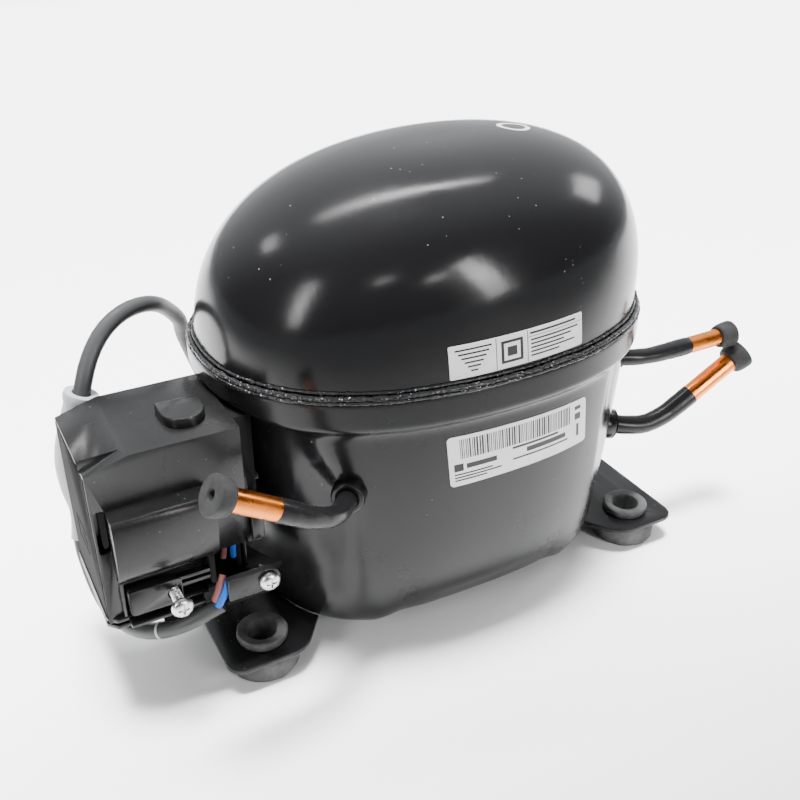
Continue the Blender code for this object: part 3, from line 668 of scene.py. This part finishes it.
def make_lower_shell():
    belt = [(RIM_Z, 0.25), (RIM_Z - 0.5, 0.05), (RIM_Z - 1.2, 0.0)]
    belt += [(RIM_Z - drop, 0.0) for drop in (2.4, 3.6, 4.8, 5.8, 6.8, 7.8, 8.8, 9.6)]
    belt += [(RIM_Z - drop, inset) for drop, inset in
             ((10.5, 0.06), (11.2, 0.2), (11.9, 0.42), (12.7, 0.65), (13.7, 0.84), (15.2, 0.95))]
    outer = [oval(RIM_LONG - 3.0 * q, RIM_WIDE - 2.4 * q, z) for z, q in belt]
    falls = [k / 26 for k in range(24)]
    turns = [2 / math.pi * math.asin(down ** (LOWER_ROUND / 2)) for down in falls]
    outer += [lower_ring(t) for t in turns]
    outer += [lower_ring(turns[-1] + (1 - turns[-1]) * k / 22) for k in range(1, 23)]
    outer = [pressed(ring) for ring in outer]
    inner = [oval(RIM_LONG - 2.6, RIM_WIDE - 2.3, RIM_Z), oval(RIM_LONG - 2.6, RIM_WIDE - 2.3, RIM_Z - 8.0),
             oval(WALL_LONG - 5.0, WALL_WIDE - 4.0, RIM_Z - 13.0)]
    inner += [lower_ring(t, 6.0) for t in (0.3, 0.5, 0.7, 0.8, 0.88, 0.95, 1.0)]
    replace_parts(piece("lower_shell", skin(outer[::-1] + inner), "lower_paint", sharp=60), "shell_lower")


def ragged(place, scale, size):
    """A smooth, fixed unevenness of about this size."""
    return size * noise.noise(Vector(place) * scale)


def bead_run(name, long, wide, z, radius, rough, scale):
    """One run of weld around the shell, lumpy along its length."""
    rings = []
    for k, angle in enumerate(full_turn(900)):
        x, y = superellipse(angle, long, wide, OVAL_POWER)
        out = Vector((x / long ** 2, y / wide ** 2, 0)).normalized()
        thick = radius * (1 + ragged((x, y, z), scale, rough) + 0.1 * math.sin(k * 1.9))
        middle = Vector((x, y, z + ragged((x, y, z + 40), 0.09, radius * 0.6)))
        rings.append([middle + out * math.cos(a) * thick + Vector((0, 0, math.sin(a) * thick))
                      for a in full_turn(8)])
    return piece(name, skin(rings, loop=True), "weld_paint", sharp=80)


def make_weld():
    main = bead_run("weld_bead", DOME_LONG + 1.5, DOME_WIDE + 1.2, RIM_Z + 0.9, 1.05, 0.3, 0.5)
    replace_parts(main, "weld_seam")
    bead_run("weld_bead_upper", DOME_LONG + 0.25, DOME_WIDE + 0.25, RIM_Z + 2.5, 0.55, 0.5, 0.7)
    bead_run("weld_bead_lower", RIM_LONG - 0.35, RIM_WIDE - 0.2, RIM_Z - 0.1, 0.5, 0.6, 0.6)


# ---- feet

FOOT_X, FOOT_Y = 85.0, 35.0
PLATE_TOP, PLATE_THICK = 15.0, 2.2
GROMMET_TOP, HOLE_R = 18.8, 5.4


def make_plate(name, side):
    corners = [(101.7, -49), (101.7, 49), (73, 49), (56, 26), (56, -26), (73, -49)]
    if side < 0:
        corners = [(-x, y) for x, y in corners[::-1]]
    outline = rounded_outline(corners, 7.0, 8)
    plate = piece(name, extruded(outline, "z", PLATE_TOP - PLATE_THICK, PLATE_TOP), "plate_paint")
    hole = [(HOLE_R + 2.2, 5), (HOLE_R + 2.2, 25)]
    holes = [turned(hole, (side * FOOT_X, y, 0)) for y in (-FOOT_Y, FOOT_Y)]
    relief = skin([lower_ring(t, -0.6)[::2] for t in (0.25, 0.45, 0.62, 0.76, 0.87, 0.95, 1.0)])
    carve(plate, cuts=holes + [relief], bevel=0.5, segments=3)
    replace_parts(plate, name.replace("foot_plate", "base_plate"))


def make_grommet(name, x, y, seed):
    waist = HOLE_R + 1.9
    low, high = PLATE_TOP - PLATE_THICK - 0.1, PLATE_TOP + 0.1
    profile = [(HOLE_R + 0.6, FLOOR), (11.6, FLOOR), (12.5, FLOOR + 0.4), (13.1, FLOOR + 1.5), (13.4, 7.4),
               (13.4, low - 1.6), (13.1, low - 0.6), (12.6, low), (waist, low), (waist, high), (8.9, high),
               (9.35, high + 0.6), (9.5, high + 1.9)]
    profile += [(out, GROMMET_TOP - down) for out, down in
                ((9.35, 0.6), (8.9, 0.1), (8.2, 0), (6.5, 0.15), (5.8, 0.6), (HOLE_R, 1.8))]
    profile += [(HOLE_R - 0.1, 10.0), (HOLE_R, FLOOR + 0.8)]
    points, faces = turned(profile, (x, y, 0), steps=64, ring=True)
    lumpy = []
    for p in points:
        reach = Vector((p.x - x, p.y - y, 0))
        grow = 1 + ragged((p.x + seed, p.y, p.z), 0.22, 0.035) * (p.z > FLOOR + 0.2)
        lumpy.append(Vector((x, y, p.z)) + reach * grow)
    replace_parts(piece(name, (lumpy, faces), "rubber"), name.replace("foot", "grommet"))


def make_feet():
    for side, end in ((-1, "left"), (1, "right")):
        make_plate("foot_plate_" + end, side)
        make_grommet("foot_front_" + end, side * FOOT_X, -FOOT_Y, 3 * side)
        make_grommet("foot_rear_" + end, side * FOOT_X, FOOT_Y, 9 * side)


# ---- tubes and their plugs

# Pipe radius, bare end's radius and length, plug's radius, length past the route, boss's size, route.
TUBES = {
    "process": (3.45, 4.0, 14.5, 6.6, 2.6, (2.6, 3.4), [
        (-52.4, -47.1, 78.1), (-55.4, -51, 78.4), (-59.7, -56.6, 78.8), (-67, -63.6, 81.2),
        (-76.4, -67.2, 86.4), (-85, -68.4, 92.2), (-93, -69, 97.4), (-100.4, -69.4, 102.1)]),
    "discharge": (3.35, 3.75, 15.3, 5.6, 1.2, (0.9, 1.2), [
        (76, -22.3, 85.5), (81, -24, 85.2), (87, -26, 84.8), (95, -27.4, 84.4),
        (104, -28, 84.5), (112.5, -28.3, 84.7), (121, -28.5, 84.9), (129.5, -28.7, 85.2)]),
    "suction": (4.0, 4.35, 20.5, 6.9, 1.6, (2.5, 1.4), [
        (75, -23, 55.4), (80, -24.9, 54.4), (86, -27.2, 53.2), (95, -29.2, 52.2),
        (104, -30, 54), (112, -30.4, 57.8), (124, -30.8, 64.6), (136.5, -31.2, 71.7)]),
}
PLUG_LONG = 9.0


def make_tube(name, radius, end, bare, plug, longer, spud, places):
    """Painted pipe with a bare copper end, its boss on the shell and the rubber plug in its mouth."""
    bore = end - 1.0
    start, out_point, before, last = [Vector(places[k]) for k in (0, 1, -2, -1)]
    route = smooth_route(places + [last + (last - before).normalized() * longer], 1.2)
    left = [0.0]
    for a, b in zip(route[::-1], route[-2::-1]):
        left.append(left[-1] + (b - a).length)
    left = left[::-1]
    bare += longer
    wide = [radius + (end - radius) * smooth(1 - (rest - bare) / 22.0) for rest in left]
    pipe = piece(name + "_pipe", swept(route, [r - 0.15 for r in wide], 40, bore - (end - radius)), "copper")
    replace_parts(pipe, name + "_tube")
    coat_route, coat_radii = [], []
    for point, rest, reach in zip(route, left, wide):
        if rest < bare - 0.8:
            break
        edge = smooth((rest - bare + 0.8) / 2.2)
        coat_route.append(point)
        coat_radii.append(reach - 0.1 + 0.2 * edge + ragged(point, 0.5, 0.08))
    piece(name + "_paint", swept(coat_route, coat_radii, 40, radius - 0.3), "tube_paint")
    wider, taller = spud
    profile = [(radius - 0.1, -4), (radius + wider, -4)]
    profile += [(radius + wider * out, taller * up) for out, up in
                ((1, 0.3), (0.8, 0.6), (0.92, 0.82), (0.8, 1), (0.4, 1.1))]
    profile.append((radius + 0.2, taller * 0.95))
    way = (out_point - start).normalized()
    collar = piece(name + "_spud", turned(profile, out_point, way, 56, ring=True), "tube_paint", sharp=50)
    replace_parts(collar, name + "_collar")
    make_plug(name, route, bore, plug, PLUG_LONG - longer)


def make_plug(name, route, bore, head, long):
    out = (route[-1] - route[-2]).normalized()
    stem, neck = bore - 0.3, head * 0.86
    profile = [(0, -7), (stem - 0.5, -7), (stem, -6.4), (stem, 0.25), (neck - 0.5, 0.25), (neck, 0.8),
               (head * 0.95, long * 0.4), (head - 0.05, long * 0.75), (head, long - 0.6),
               (head - 0.15, long - 0.15), (head - 0.55, long), (head * 0.34, long),
               (head * 0.27, long - 0.6), (head * 0.24, long - 4.5), (0, long - 4.5)]
    plug = piece(name + "_cap", turned(profile, route[-1], out, 56), "cap_rubber", name + "_plug", 28)
    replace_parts(plug, name + "_plug")


# ---- starting gear's cover

COVER_LOW = (-137.5, -36.6, 44.0)
COVER_HIGH = (-87.0, 5.5, 106.3)
SLOPE_X, SLOPE_DROP = 14.5, 4.2
NOSE_LOW, NOSE_HIGH = 61.5, 88.0


def hood(inset, low, right, top=COVER_HIGH[2]):
    """The cover's box with the slope along its left top edge."""
    left, slope = COVER_LOW[0] + inset, COVER_LOW[0] + SLOPE_X
    end = [(left, low), (right, low), (right, top), (slope, top), (left, top - SLOPE_DROP)]
    return extruded(end, "y", COVER_LOW[1] + inset, COVER_HIGH[1] - inset)


def nose(left, right):
    """The ledge, round front and undercut foot that stand out from the cover's front."""
    upper = [(6, 0.3), (0, 0.3), (-6.2, -0.3), (-7.1, -0.8), (-7.7, -2.0), (-7.9, -3.8), (-8.0, -7.5),
             (-7.6, -13), (-6.9, -18.5)]
    foot = [(-6.1, 4.6), (-4.6, 1.6), (-2.4, 0), (6, 0)]
    profile = [(COVER_LOW[1] + out, base + up) for base, curve in ((NOSE_HIGH, upper), (NOSE_LOW, foot))
               for out, up in curve]
    return extruded(profile, "x", left, right)


def make_cover():
    """The hollow cover, its dull end face and the plates that close the gaps behind it. The liner inside it and
    the skirt under it are painted shade: dull black sheets put where there is only shade, so that the floor
    doesn't show.
    """
    (x0, y0, z0), (x1, y1, z1) = COVER_LOW, COVER_HIGH
    floor = [(x0 - 2, -25.0, z1 - 9.0), (-124.6, -31.0, z1 - 0.4), (x0 - 2, -33.9, z1 - 7.6)]
    notch = skin([floor, [(x, y, z1 + 4) for x, y, _ in floor]])
    belt = skin([oval(WALL_LONG + 0.4, WALL_WIDE + 0.4, z, steps=120) for z in (z0 - 6, RIM_Z + 5)])
    gap = [(x0 + 0.7, 72.2), (x0 + 4.6, 72.2), (x0 + 4.6, 88.8), (x0 + 0.7, 88.8)]
    slot = extruded(rounded_outline(gap, 1.6), "y", y0 - 1, y0 + 6)
    cover = piece("gear_cover", hood(0, z0, x1), "black_plastic")
    carve(cover, adds=[nose(x0 + 4.4, x1 - 12.5)],
          cuts=[notch, belt, slot, hood(3, z0 - 5, x1 - 1, 93.5),
                block((x0 + 6, y0 - 12, z0 - 5), (x1 + 5, y0 + 5, NOSE_LOW - 0.9)),
                block((x0 + 37, y0 - 12, z0 - 5), (x1 + 5, y0 + 5, NOSE_LOW - 1.6))],
          bevel=0.6, segments=3)
    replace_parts(cover, "electrical_cover")
    face = [(y1 - 0.9, z0 + 0.9), (y1 - 0.9, z1 - SLOPE_DROP - 1.0), (y0 + 0.9, z1 - SLOPE_DROP - 1.0),
            (y0 + 0.9, z0 + 0.9)]
    carve(piece("cover_end", extruded(face, "x", x0 - 0.22, x0 + 0.4), "end_plastic"), [notch, slot],
          bevel=0.1, segments=1)
    blocks("cover_flange", "end_plastic", 0.3, 2, [belt],
          ((x1 - 0.2, y0 + 9.0, z0 + 12), (x1 + 22, y1 - 1, z1 - 1.5)))
    # Painted shade: a dull black sheet under the cover, where there is only shade, that keeps the floor from
    # showing.
    blocks("cover_shade_skirt", "end_plastic", 0.2, 1, (), ((x0 + 6.5, -30.6, 34.8), (x0 + 20, -29.2, 43.6)),
          ((x0 + 19, -30.6, 30.0), (x0 + 34, -29.2, 43.6)))
    # Painted shade: dull black plates on the cover's bottom, back and right side inside, where there is only
    # shade.
    blocks("cover_shade_liner", "end_plastic", 0.1, 1, [belt],
          ((x0 + 1.3, y0 + 1.6, z0 + 0.4), (x1 + 15, y1 - 3.2, z0 + 2.2)),
          ((x0 + 3.2, y1 - 4.8, z0 + 1), (x1 + 15, y1 - 3.2, z1 - 14)),
          ((x1 - 3.5, y0 + 5, z0 + 1), (x1 - 2, y1 - 3.2, z1 - 14)))


def make_cover_trim():
    """What stands on the cover: tab, lips, embossed bars, tooth and the frame of its lower mouth."""
    (x0, y0, _), (_, y1, z1) = COVER_LOW, COVER_HIGH
    outline = [(-108.5, -15.0), (-108.5, -20.0)]
    outline += [(-101.2 - 7.3 * math.cos(a), -20.6 - 9.0 * math.sin(a) ** 0.8) for a in half_turn(18)]
    outline += [(-93.8, -20.0), (-93.8, -15.0)]
    carve(piece("cover_tab", extruded(outline, "z", z1 - 1, z1 + 3.6), "black_plastic"), bevel=0.45, segments=3)
    lip = [(x0 - 0.7, y1 + 0.2), (x0 - 0.7, y0 + 2), (x0 + 2.2, y0 - 1.3), (x0 + 32, y0 - 1.3),
           (x0 + 32, y0 + 1.2), (x0 + 3.4, y0 + 1.2), (x0 + 1.6, y0 + 3), (x0 + 1.6, y1 + 0.2)]
    for name, low in (("cover_lip_1", 41.6), ("cover_lip_2", 44.2)):
        carve(piece(name, extruded(lip, "z", low, low + 1.9), "black_plastic"), bevel=0.35)
    bars = [((-21.0, 62.0), (-9.5, 63.3)), ((-21.0, 66.0), (-13.5, 67.3)), ((-21.0, 70.0), (-9.5, 71.3)),
            ((-8.4, 62.0), (-7.1, 71.3))]
    ribs = [block((x0 - 0.35, *low), (x0 + 0.6, *high)) for low, high in bars]
    carve(piece("cover_embossing", joined(ribs), "end_plastic"), bevel=0.15)
    blocks("cover_tooth", "black_plastic", 0.5, 3, (), ((-86.2, -38.4, 61.5), (-81.8, -34.4, 70.6)),
          ((-88.0, -37.6, 60.2), (-82.4, -35.2, 63.2)))
    blocks("mouth_frame", "black_plastic", 0.35, 2, (), ((-132.6, -38.2, 46.4), (-131.4, -33.0, 60.6)),
          ((-132.6, -38.2, 59.4), (-104.5, -36.4, 60.6)))
    blocks("mouth_post", "end_plastic", 0.4, 2, (), ((-103.2, -42.4, 52.0), (-101.4, -33.0, 64.6)))
    blocks("mouth_sill", "black_plastic", 0.4, 2, (), ((-131.4, -41.8, 43.5), (-105.8, -36.4, 45.3)))


# ---- cord clamp, strap, screws and wires

CLAMP_SCREW, STRAP_SCREW = (-116, -49.5, 53), (-84.4, -46.3, 49.2)


def screw_hole(screw, radius, y):
    return turned([(radius, 0), (radius, 20)], (screw[0], y, screw[2]), (0, -1, 0), 32)


def make_fixings():
    tray = blocks("lead_tray", "end_plastic", 0.35, 2, (), ((-130.5, -37.8, 45.4), (-103.5, -31.0, 47.0)),
                 ((-130.5, -33.0, 46.0), (-103.5, -31.0, 58.0)))
    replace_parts(tray, "cord_tray")
    plate = rounded_outline([(-131.0, 48.6), (-113.2, 48.6), (-113.2, 58.4), (-131.0, 58.4)], 1.8)
    clamp = piece("lead_clamp", extruded(plate, "y", -42.0, -38.6), "black_plastic")
    arms = [block((-114.5, -41.6, low), (-103.2, -38.9, low + 1.3)) for low in (57.0, 54.3)]
    carve(clamp, cuts=[screw_hole(CLAMP_SCREW, 2.4, -30)], adds=arms, bevel=0.4)
    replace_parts(clamp, "cord_clamp")
    x, _, z = STRAP_SCREW
    bar = [(-99, z - 4.4), (x, z - 4.4)]
    bar += [(x + 4.4 * math.sin(a), z - 4.4 * math.cos(a)) for a in half_turn(14)]
    bar += [(x, z + 4.4), (-99, z + 4.4)]
    strap = piece("lead_strap", extruded(bar, "y", -46.0, -43.0), "black_plastic")
    carve(strap, cuts=[screw_hole(STRAP_SCREW, 2.2, -38)], bevel=0.4, segments=3)
    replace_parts(strap, "cord_strap")
    blocks("strap_arm", "end_plastic", 0.3, 2, (), ((-99.6, -45.2, 43.2), (-84, -33.5, 44.6)))
    make_screw("clamp_screw", CLAMP_SCREW, 14.0)
    make_screw("strap_screw", STRAP_SCREW, 9.0)


def make_screw(name, face, shank):
    """Pan head with a cross recess over a threaded shank."""
    head = [(0, -0.4), (2.4, -0.4), (3.5, 0), (3.75, 0.35), (3.72, 0.9), (3.45, 1.5), (2.9, 2.05), (2.0, 2.42),
            (1.0, 2.58), (0, 2.6)]
    screw = piece(name.replace("screw", "fastener"), turned(head, face, (0, -1, 0), 56), "zinc", sharp=50)
    x, y, z = face
    slots = [block((x - wide, y - 3.2, z - tall), (x + wide, y - 1.5, z + tall))
             for wide, tall in ((1.9, 0.42), (0.42, 1.9))]
    carve(screw, cuts=slots, bevel=0.1)
    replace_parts(screw, name)
    rings, pitch, sides = [], 1.35, 28
    count = int(shank / 0.16)
    for k in range(count + 1):
        depth = shank * k / count
        ring = []
        for m in range(sides):
            turn = m / sides
            phase = (depth / pitch + turn) % 1.0
            crest = max(0.0, 1 - abs(phase - 0.5) / 0.28)
            taper = min(1.0, (shank - depth) / 3.0)
            reach = (1.3 + 0.6 * crest) * (0.25 + 0.75 * taper)
            angle = 2 * math.pi * turn
            ring.append((x + reach * math.cos(angle), y + depth, z + reach * math.sin(angle)))
        rings.append(ring)
    piece(name + "_thread", skin(rings), "zinc", sharp=60)


WIRES = {
    "brown": ([(-103.4, -42.9, 45.0), (-102.0, -42.7, 48.0), (-100.6, -42.2, 51.0), (-99.2, -41.2, 53.4)], 1.25,
              [(-95.9, -32.4, 53.6), (-95.4, -32.4, 56.0), (-95.1, -32.4, 59.0), (-94.8, -31.8, 63.0)]),
    "blue": ([(-102.6, -43.5, 42.9), (-101.0, -43.5, 45.4), (-98.9, -43.0, 48.4), (-97.4, -41.8, 51.6)], 1.55,
             [(-92.2, -32.4, 52.8), (-92.1, -32.4, 55.5), (-91.9, -32.4, 58.4), (-91.8, -31.8, 62.5)]),
}


def make_wires():
    for colour, (lower, thick, upper) in WIRES.items():
        runs = [swept(smooth_route(lower, 0.6), thick, 24), swept(smooth_route(upper, 0.6), 1.15, 24)]
        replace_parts(piece("lead_wire_" + colour, joined(runs), colour + "_wire"), "wire_" + colour)


def make_sleeve():
    """The lead's flared sleeve, with a rim at its wide upper end."""
    route = smooth_route([(-135.7, 10.6, 47.5)] + SLEEVE_ROUTE, 1.5)
    radii = []
    for t in [k / (len(route) - 1) for k in range(len(route))]:
        rim = smooth((t - 0.93) / 0.03) - smooth((t - 0.985) / 0.015) * 0.3
        radii.append(3.7 + 2.4 * smooth(t / 0.55) - 0.8 * smooth((t - 0.55) / 0.4) + 1.0 * rim)
    sleeve = piece("lead_sleeve", swept(route, radii, 40, 3.4), "light_sleeve")
    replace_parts(sleeve, "cord_sleeve")
    return sleeve


# ---- labels and paint mark


def dome_front(x, z):
    """The y of the dome's front at this place."""
    up = (z - DOME_FOOT_Z) / (DOME_RISE + DOME_TILT * x)
    up = min(0.999, max(0.0, up))
    out = (1 - up ** DOME_ROUND) ** (1 / DOME_ROUND)
    power = OVAL_POWER - 0.25 * up
    across = min(1.0, abs(x - DOME_SHIFT_X * up) / (DOME_LONG * out))
    return DOME_SHIFT_Y * up - DOME_WIDE * out * (1 - across ** power) ** (1 / power)


def dome_top(x, y):
    """The z of the dome at this place, found by halving."""
    low, high = DOME_FOOT_Z, DOME_FOOT_Z + DOME_RISE + 6
    for _ in range(40):
        z = (low + high) / 2
        up = (z - DOME_FOOT_Z) / (DOME_RISE + DOME_TILT * x)
        out = (1 - min(0.9999, up) ** DOME_ROUND) ** (1 / DOME_ROUND)
        power = OVAL_POWER - 0.25 * up
        reach = (abs(x - DOME_SHIFT_X * up) / (DOME_LONG * out)) ** power
        reach += (abs(y - DOME_SHIFT_Y * up) / (DOME_WIDE * out)) ** power
        low, high = (z, high) if up < 1 and reach < 1 else (low, z)
    return z


def wall_front(x, z):
    """The y of the lower shell's front at this place."""
    down = min(1.0, max(0.0, (BELT_FOOT_Z - z) / (BELT_FOOT_Z - BOTTOM_Z)))
    out = (1 - down ** LOWER_ROUND) ** (1 / LOWER_ROUND)
    long, wide = (WALL_LONG - LONG_TAPER * down) * out, (WALL_WIDE - WIDE_TAPER * down) * out
    power = OVAL_POWER + 0.4 * down
    return -wide * (1 - min(1.0, abs(x) / long) ** power) ** (1 / power)


def patch(front, corners, box, lift, thick, corner=0.0):
    """A thin sheet on the shell: box is its (left, bottom, right, top) share of the four corners' area."""
    left, bottom, right, top = box
    (ax, az), (bx, bz), (cx, cz), (dx, dz) = corners
    wide, tall = math.hypot(bx - ax, bz - az), math.hypot(dx - ax, dz - az)
    across = max(2, int((right - left) * wide / 2.0))
    rows = [i / 10 for i in range(11)]
    if corner:
        edge = corner / (tall * (top - bottom))
        turns = [edge * (1 - math.cos(math.pi / 2 * k / 6)) for k in range(6)]
        rows = turns + [edge + (1 - 2 * edge) * k / 8 for k in range(9)] + [1 - t for t in turns[::-1]]
    grid = []
    for row in rows:
        cut = 0.0
        if corner:
            near = min(row, 1 - row) * tall * (top - bottom)
            cut = corner - math.sqrt(max(0.0, corner ** 2 - max(0.0, corner - near) ** 2))
        line = []
        for k in range(across + 1):
            u = left + (right - left) * k / across
            u = min(max(u, left + cut / wide), right - cut / wide)
            v = bottom + (top - bottom) * row
            x = (ax * (1 - u) + bx * u) * (1 - v) + (dx * (1 - u) + cx * u) * v
            z = (az * (1 - u) + bz * u) * (1 - v) + (dz * (1 - u) + cz * u) * v
            line.append((x, z))
        grid.append(line)
    points, faces = [], []
    for depth in (lift + thick, lift):
        points += [Vector((x, front(x, z) - depth, z)) for line in grid for x, z in line]
    count, width = len(points) // 2, across + 1
    for j in range(len(rows) - 1):
        for k in range(across):
            quad = (j * width + k, j * width + k + 1, (j + 1) * width + k + 1, (j + 1) * width + k)
            faces += [quad, tuple(count + i for i in quad[::-1])]
    rim = list(range(width)) + [j * width + width - 1 for j in range(1, len(rows))]
    rim += [(len(rows) - 1) * width + k for k in range(width - 2, -1, -1)]
    rim += [j * width for j in range(len(rows) - 2, 0, -1)]
    for i, j in zip(rim, rim[1:] + rim[:1]):
        faces.append((j, i, count + i, count + j))
    return points, faces


def label(name, front, corners, bars, corner):
    """A printed film: the film itself, and its print as generic bars and blocks."""
    piece(name, patch(front, corners, (0, 0, 1, 1), 0.05, 0.14, corner), "label_film", sharp=60)
    prints = [patch(front, corners, box, 0.19, 0.03) for box in bars]
    piece(name + "_print", joined(prints), "print_ink", sharp=60)


def make_labels():
    """Two films whose bars are (left, bottom, right, top) shares of the film, with no lettering."""
    upper = [(-22.9, 118.4), (31.1, 118.9), (29.3, 131.6), (-24.0, 130.6)]
    bars = [(0.318, 0.02, 0.323, 0.98), (0.548, 0.02, 0.553, 0.98), (0.553, 0.76, 0.99, 0.775),
            (0.57, 0.84, 0.94, 0.9)]
    bars += [(0.575, low, right, low + 0.05)
             for low, right in ((0.64, 0.96), (0.52, 0.9), (0.4, 0.84), (0.28, 0.93), (0.16, 0.8))]
    bars += [(0.04 + 0.02 * k, 0.82 - 0.13 * k, 0.29 - 0.02 * k, 0.87 - 0.13 * k) for k in range(6)]
    bars += [(0.355, 0.2, 0.375, 0.8), (0.495, 0.2, 0.515, 0.8), (0.355, 0.76, 0.515, 0.84),
             (0.355, 0.16, 0.515, 0.24), (0.4, 0.36, 0.47, 0.64)]
    label("upper_label", dome_front, upper, bars, 0.6)
    lower = [(-20.7, 75.1), (40.0, 75.4), (36.6, 95.8), (-23.6, 96.5)]
    stripes, place = [], 0.075
    for k in range(60):
        thick = (0.0045, 0.0095, 0.006, 0.012, 0.005)[(k * 7 + k // 3) % 5]
        stripes.append((place, 0.54, place + thick, 0.93))
        place += thick + (0.0055, 0.009, 0.0065)[(k * 5) % 3]
    bars = [bar for bar in stripes if bar[2] < 0.86]
    bars += [(0.42, 0.455, 0.76, 0.5), (0.52, 0.31, 0.82, 0.41), (0.42, 0.22, 0.84, 0.255),
             (0.03, 0.3, 0.09, 0.45), (0.11, 0.33, 0.31, 0.43)]
    bars += [(0.03, low, right, low + 0.03) for low, right in ((0.22, 0.28), (0.16, 0.34), (0.1, 0.24))]
    bars += [(0.9, 0.8, 0.95, 0.88), (0.9, 0.58, 0.95, 0.72), (0.915, 0.2, 0.935, 0.48)]
    label("lower_label", wall_front, lower, bars, 1.6)


MARK_X, MARK_Y, MARK_LONG, MARK_WIDE = 36.4, -4.0, 6.4, 5.6


def make_mark():
    """The small oval ring of white paint on the crown."""
    inner, outer = [], []
    for angle in full_turn(64):
        size = 1 + 0.05 * math.sin(3 * angle + 1)
        for ring, share in ((inner, 0.7 * size), (outer, size)):
            x = MARK_X + share * (MARK_LONG * math.cos(angle) - math.sin(angle))
            ring.append((x, MARK_Y + share * (MARK_WIDE * math.sin(angle) + math.cos(angle))))
    rings = [[(x, y, dome_top(x, y) + lift) for x, y in ring]
             for ring, lift in ((inner, -0.2), (inner, 0.07), (outer, 0.07), (outer, -0.2))]
    piece("paint_mark", skin(rings, loop=True), "white_mark", sharp=60)


def make_band():
    """The thin white ring around the lead below the cover."""
    route = lead_route()
    first, second = min(zip(route, route[1:]),
                        key=lambda pair: (pair[0].lerp(pair[1], 0.5) - BAND_PLACE).length)
    low, high = CORD_R - 0.1, CORD_R + BAND_PROUD
    ring = [(low, -BAND_HALF), (high, -BAND_HALF), (high, BAND_HALF), (low, BAND_HALF)]
    way = (second - first).normalized()
    return piece("lead_band", turned(ring, first.lerp(second, 0.5), way, 48, ring=True), "white_mark")


# ---- suspension springs

SPRING_X, SPRING_Y, SHAFT_X = 36.0, 33.0, -12.0
SPRING_LOW, SPRING_HIGH, SPRING_R, SPRING_WIRE, SPRING_TURNS = 18.6, 51.4, 6.0, 0.9, 5


def make_springs():
    """The motor's four springs, each with a mesh of its own."""
    steps = 24 * SPRING_TURNS
    rise = SPRING_HIGH - SPRING_LOW - 2 * SPRING_WIRE
    corners = (("front_left", -1, -1), ("front_right", 1, -1), ("rear_left", -1, 1), ("rear_right", 1, 1))
    for name, sx, sy in corners:
        x, y = SHAFT_X + sx * SPRING_X, sy * SPRING_Y
        angles = [2 * math.pi * SPRING_TURNS * k / steps for k in range(steps + 1)]
        helix = [Vector((x + SPRING_R * math.cos(a), y + SPRING_R * math.sin(a),
                         SPRING_LOW + SPRING_WIRE + rise * k / steps)) for k, a in enumerate(angles)]
        spring = piece("coil_spring_" + name, swept(helix, SPRING_WIRE, 12), "steel")
        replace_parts(spring, "spring_" + name)
        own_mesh(spring)


# ---- everything made, in order

make_camera()
make_lead(make_sleeve(), make_band())
make_lights()
make_sky()
make_floor()
make_dome()
make_lower_shell()
make_weld()
make_feet()
for tube_name, sizes in TUBES.items():
    make_tube(tube_name, *sizes)
make_cover()
make_cover_trim()
make_fixings()
make_wires()
make_labels()
make_mark()
make_springs()

# ---- the CAD nodes that stay

# Looks of the CAD nodes that lie inside or show, by how their names start. All others are black.
NODE_LOOKS = {
    "cast_iron": ("crankcase", "crankshaft", "piston"),
    "steel": ("wrist_pin", "valve_plate", "stator_core", "oil_pickup"),
    "aluminium": ("connecting_rod", "cylinder_head", "rotor"),
    "black_plastic": ("head_gasket", "start_relay", "overload_protector", "terminal_pin"),
    "white_plastic": ("suction_muffler", "run_capacitor", "seat", "cord_connector"),
    "enamel_wire": ("winding",),
    "copper": ("discharge_line",),
}

for name, node in NODES.items():
    known = [look for look, starts in NODE_LOOKS.items() if name.startswith(starts)]
    look = LOOKS[known[0] if known else "black_paint"]
    for slot in node.material_slots:
        slot.material = look
    if not node.material_slots:
        node.data.materials.append(look)
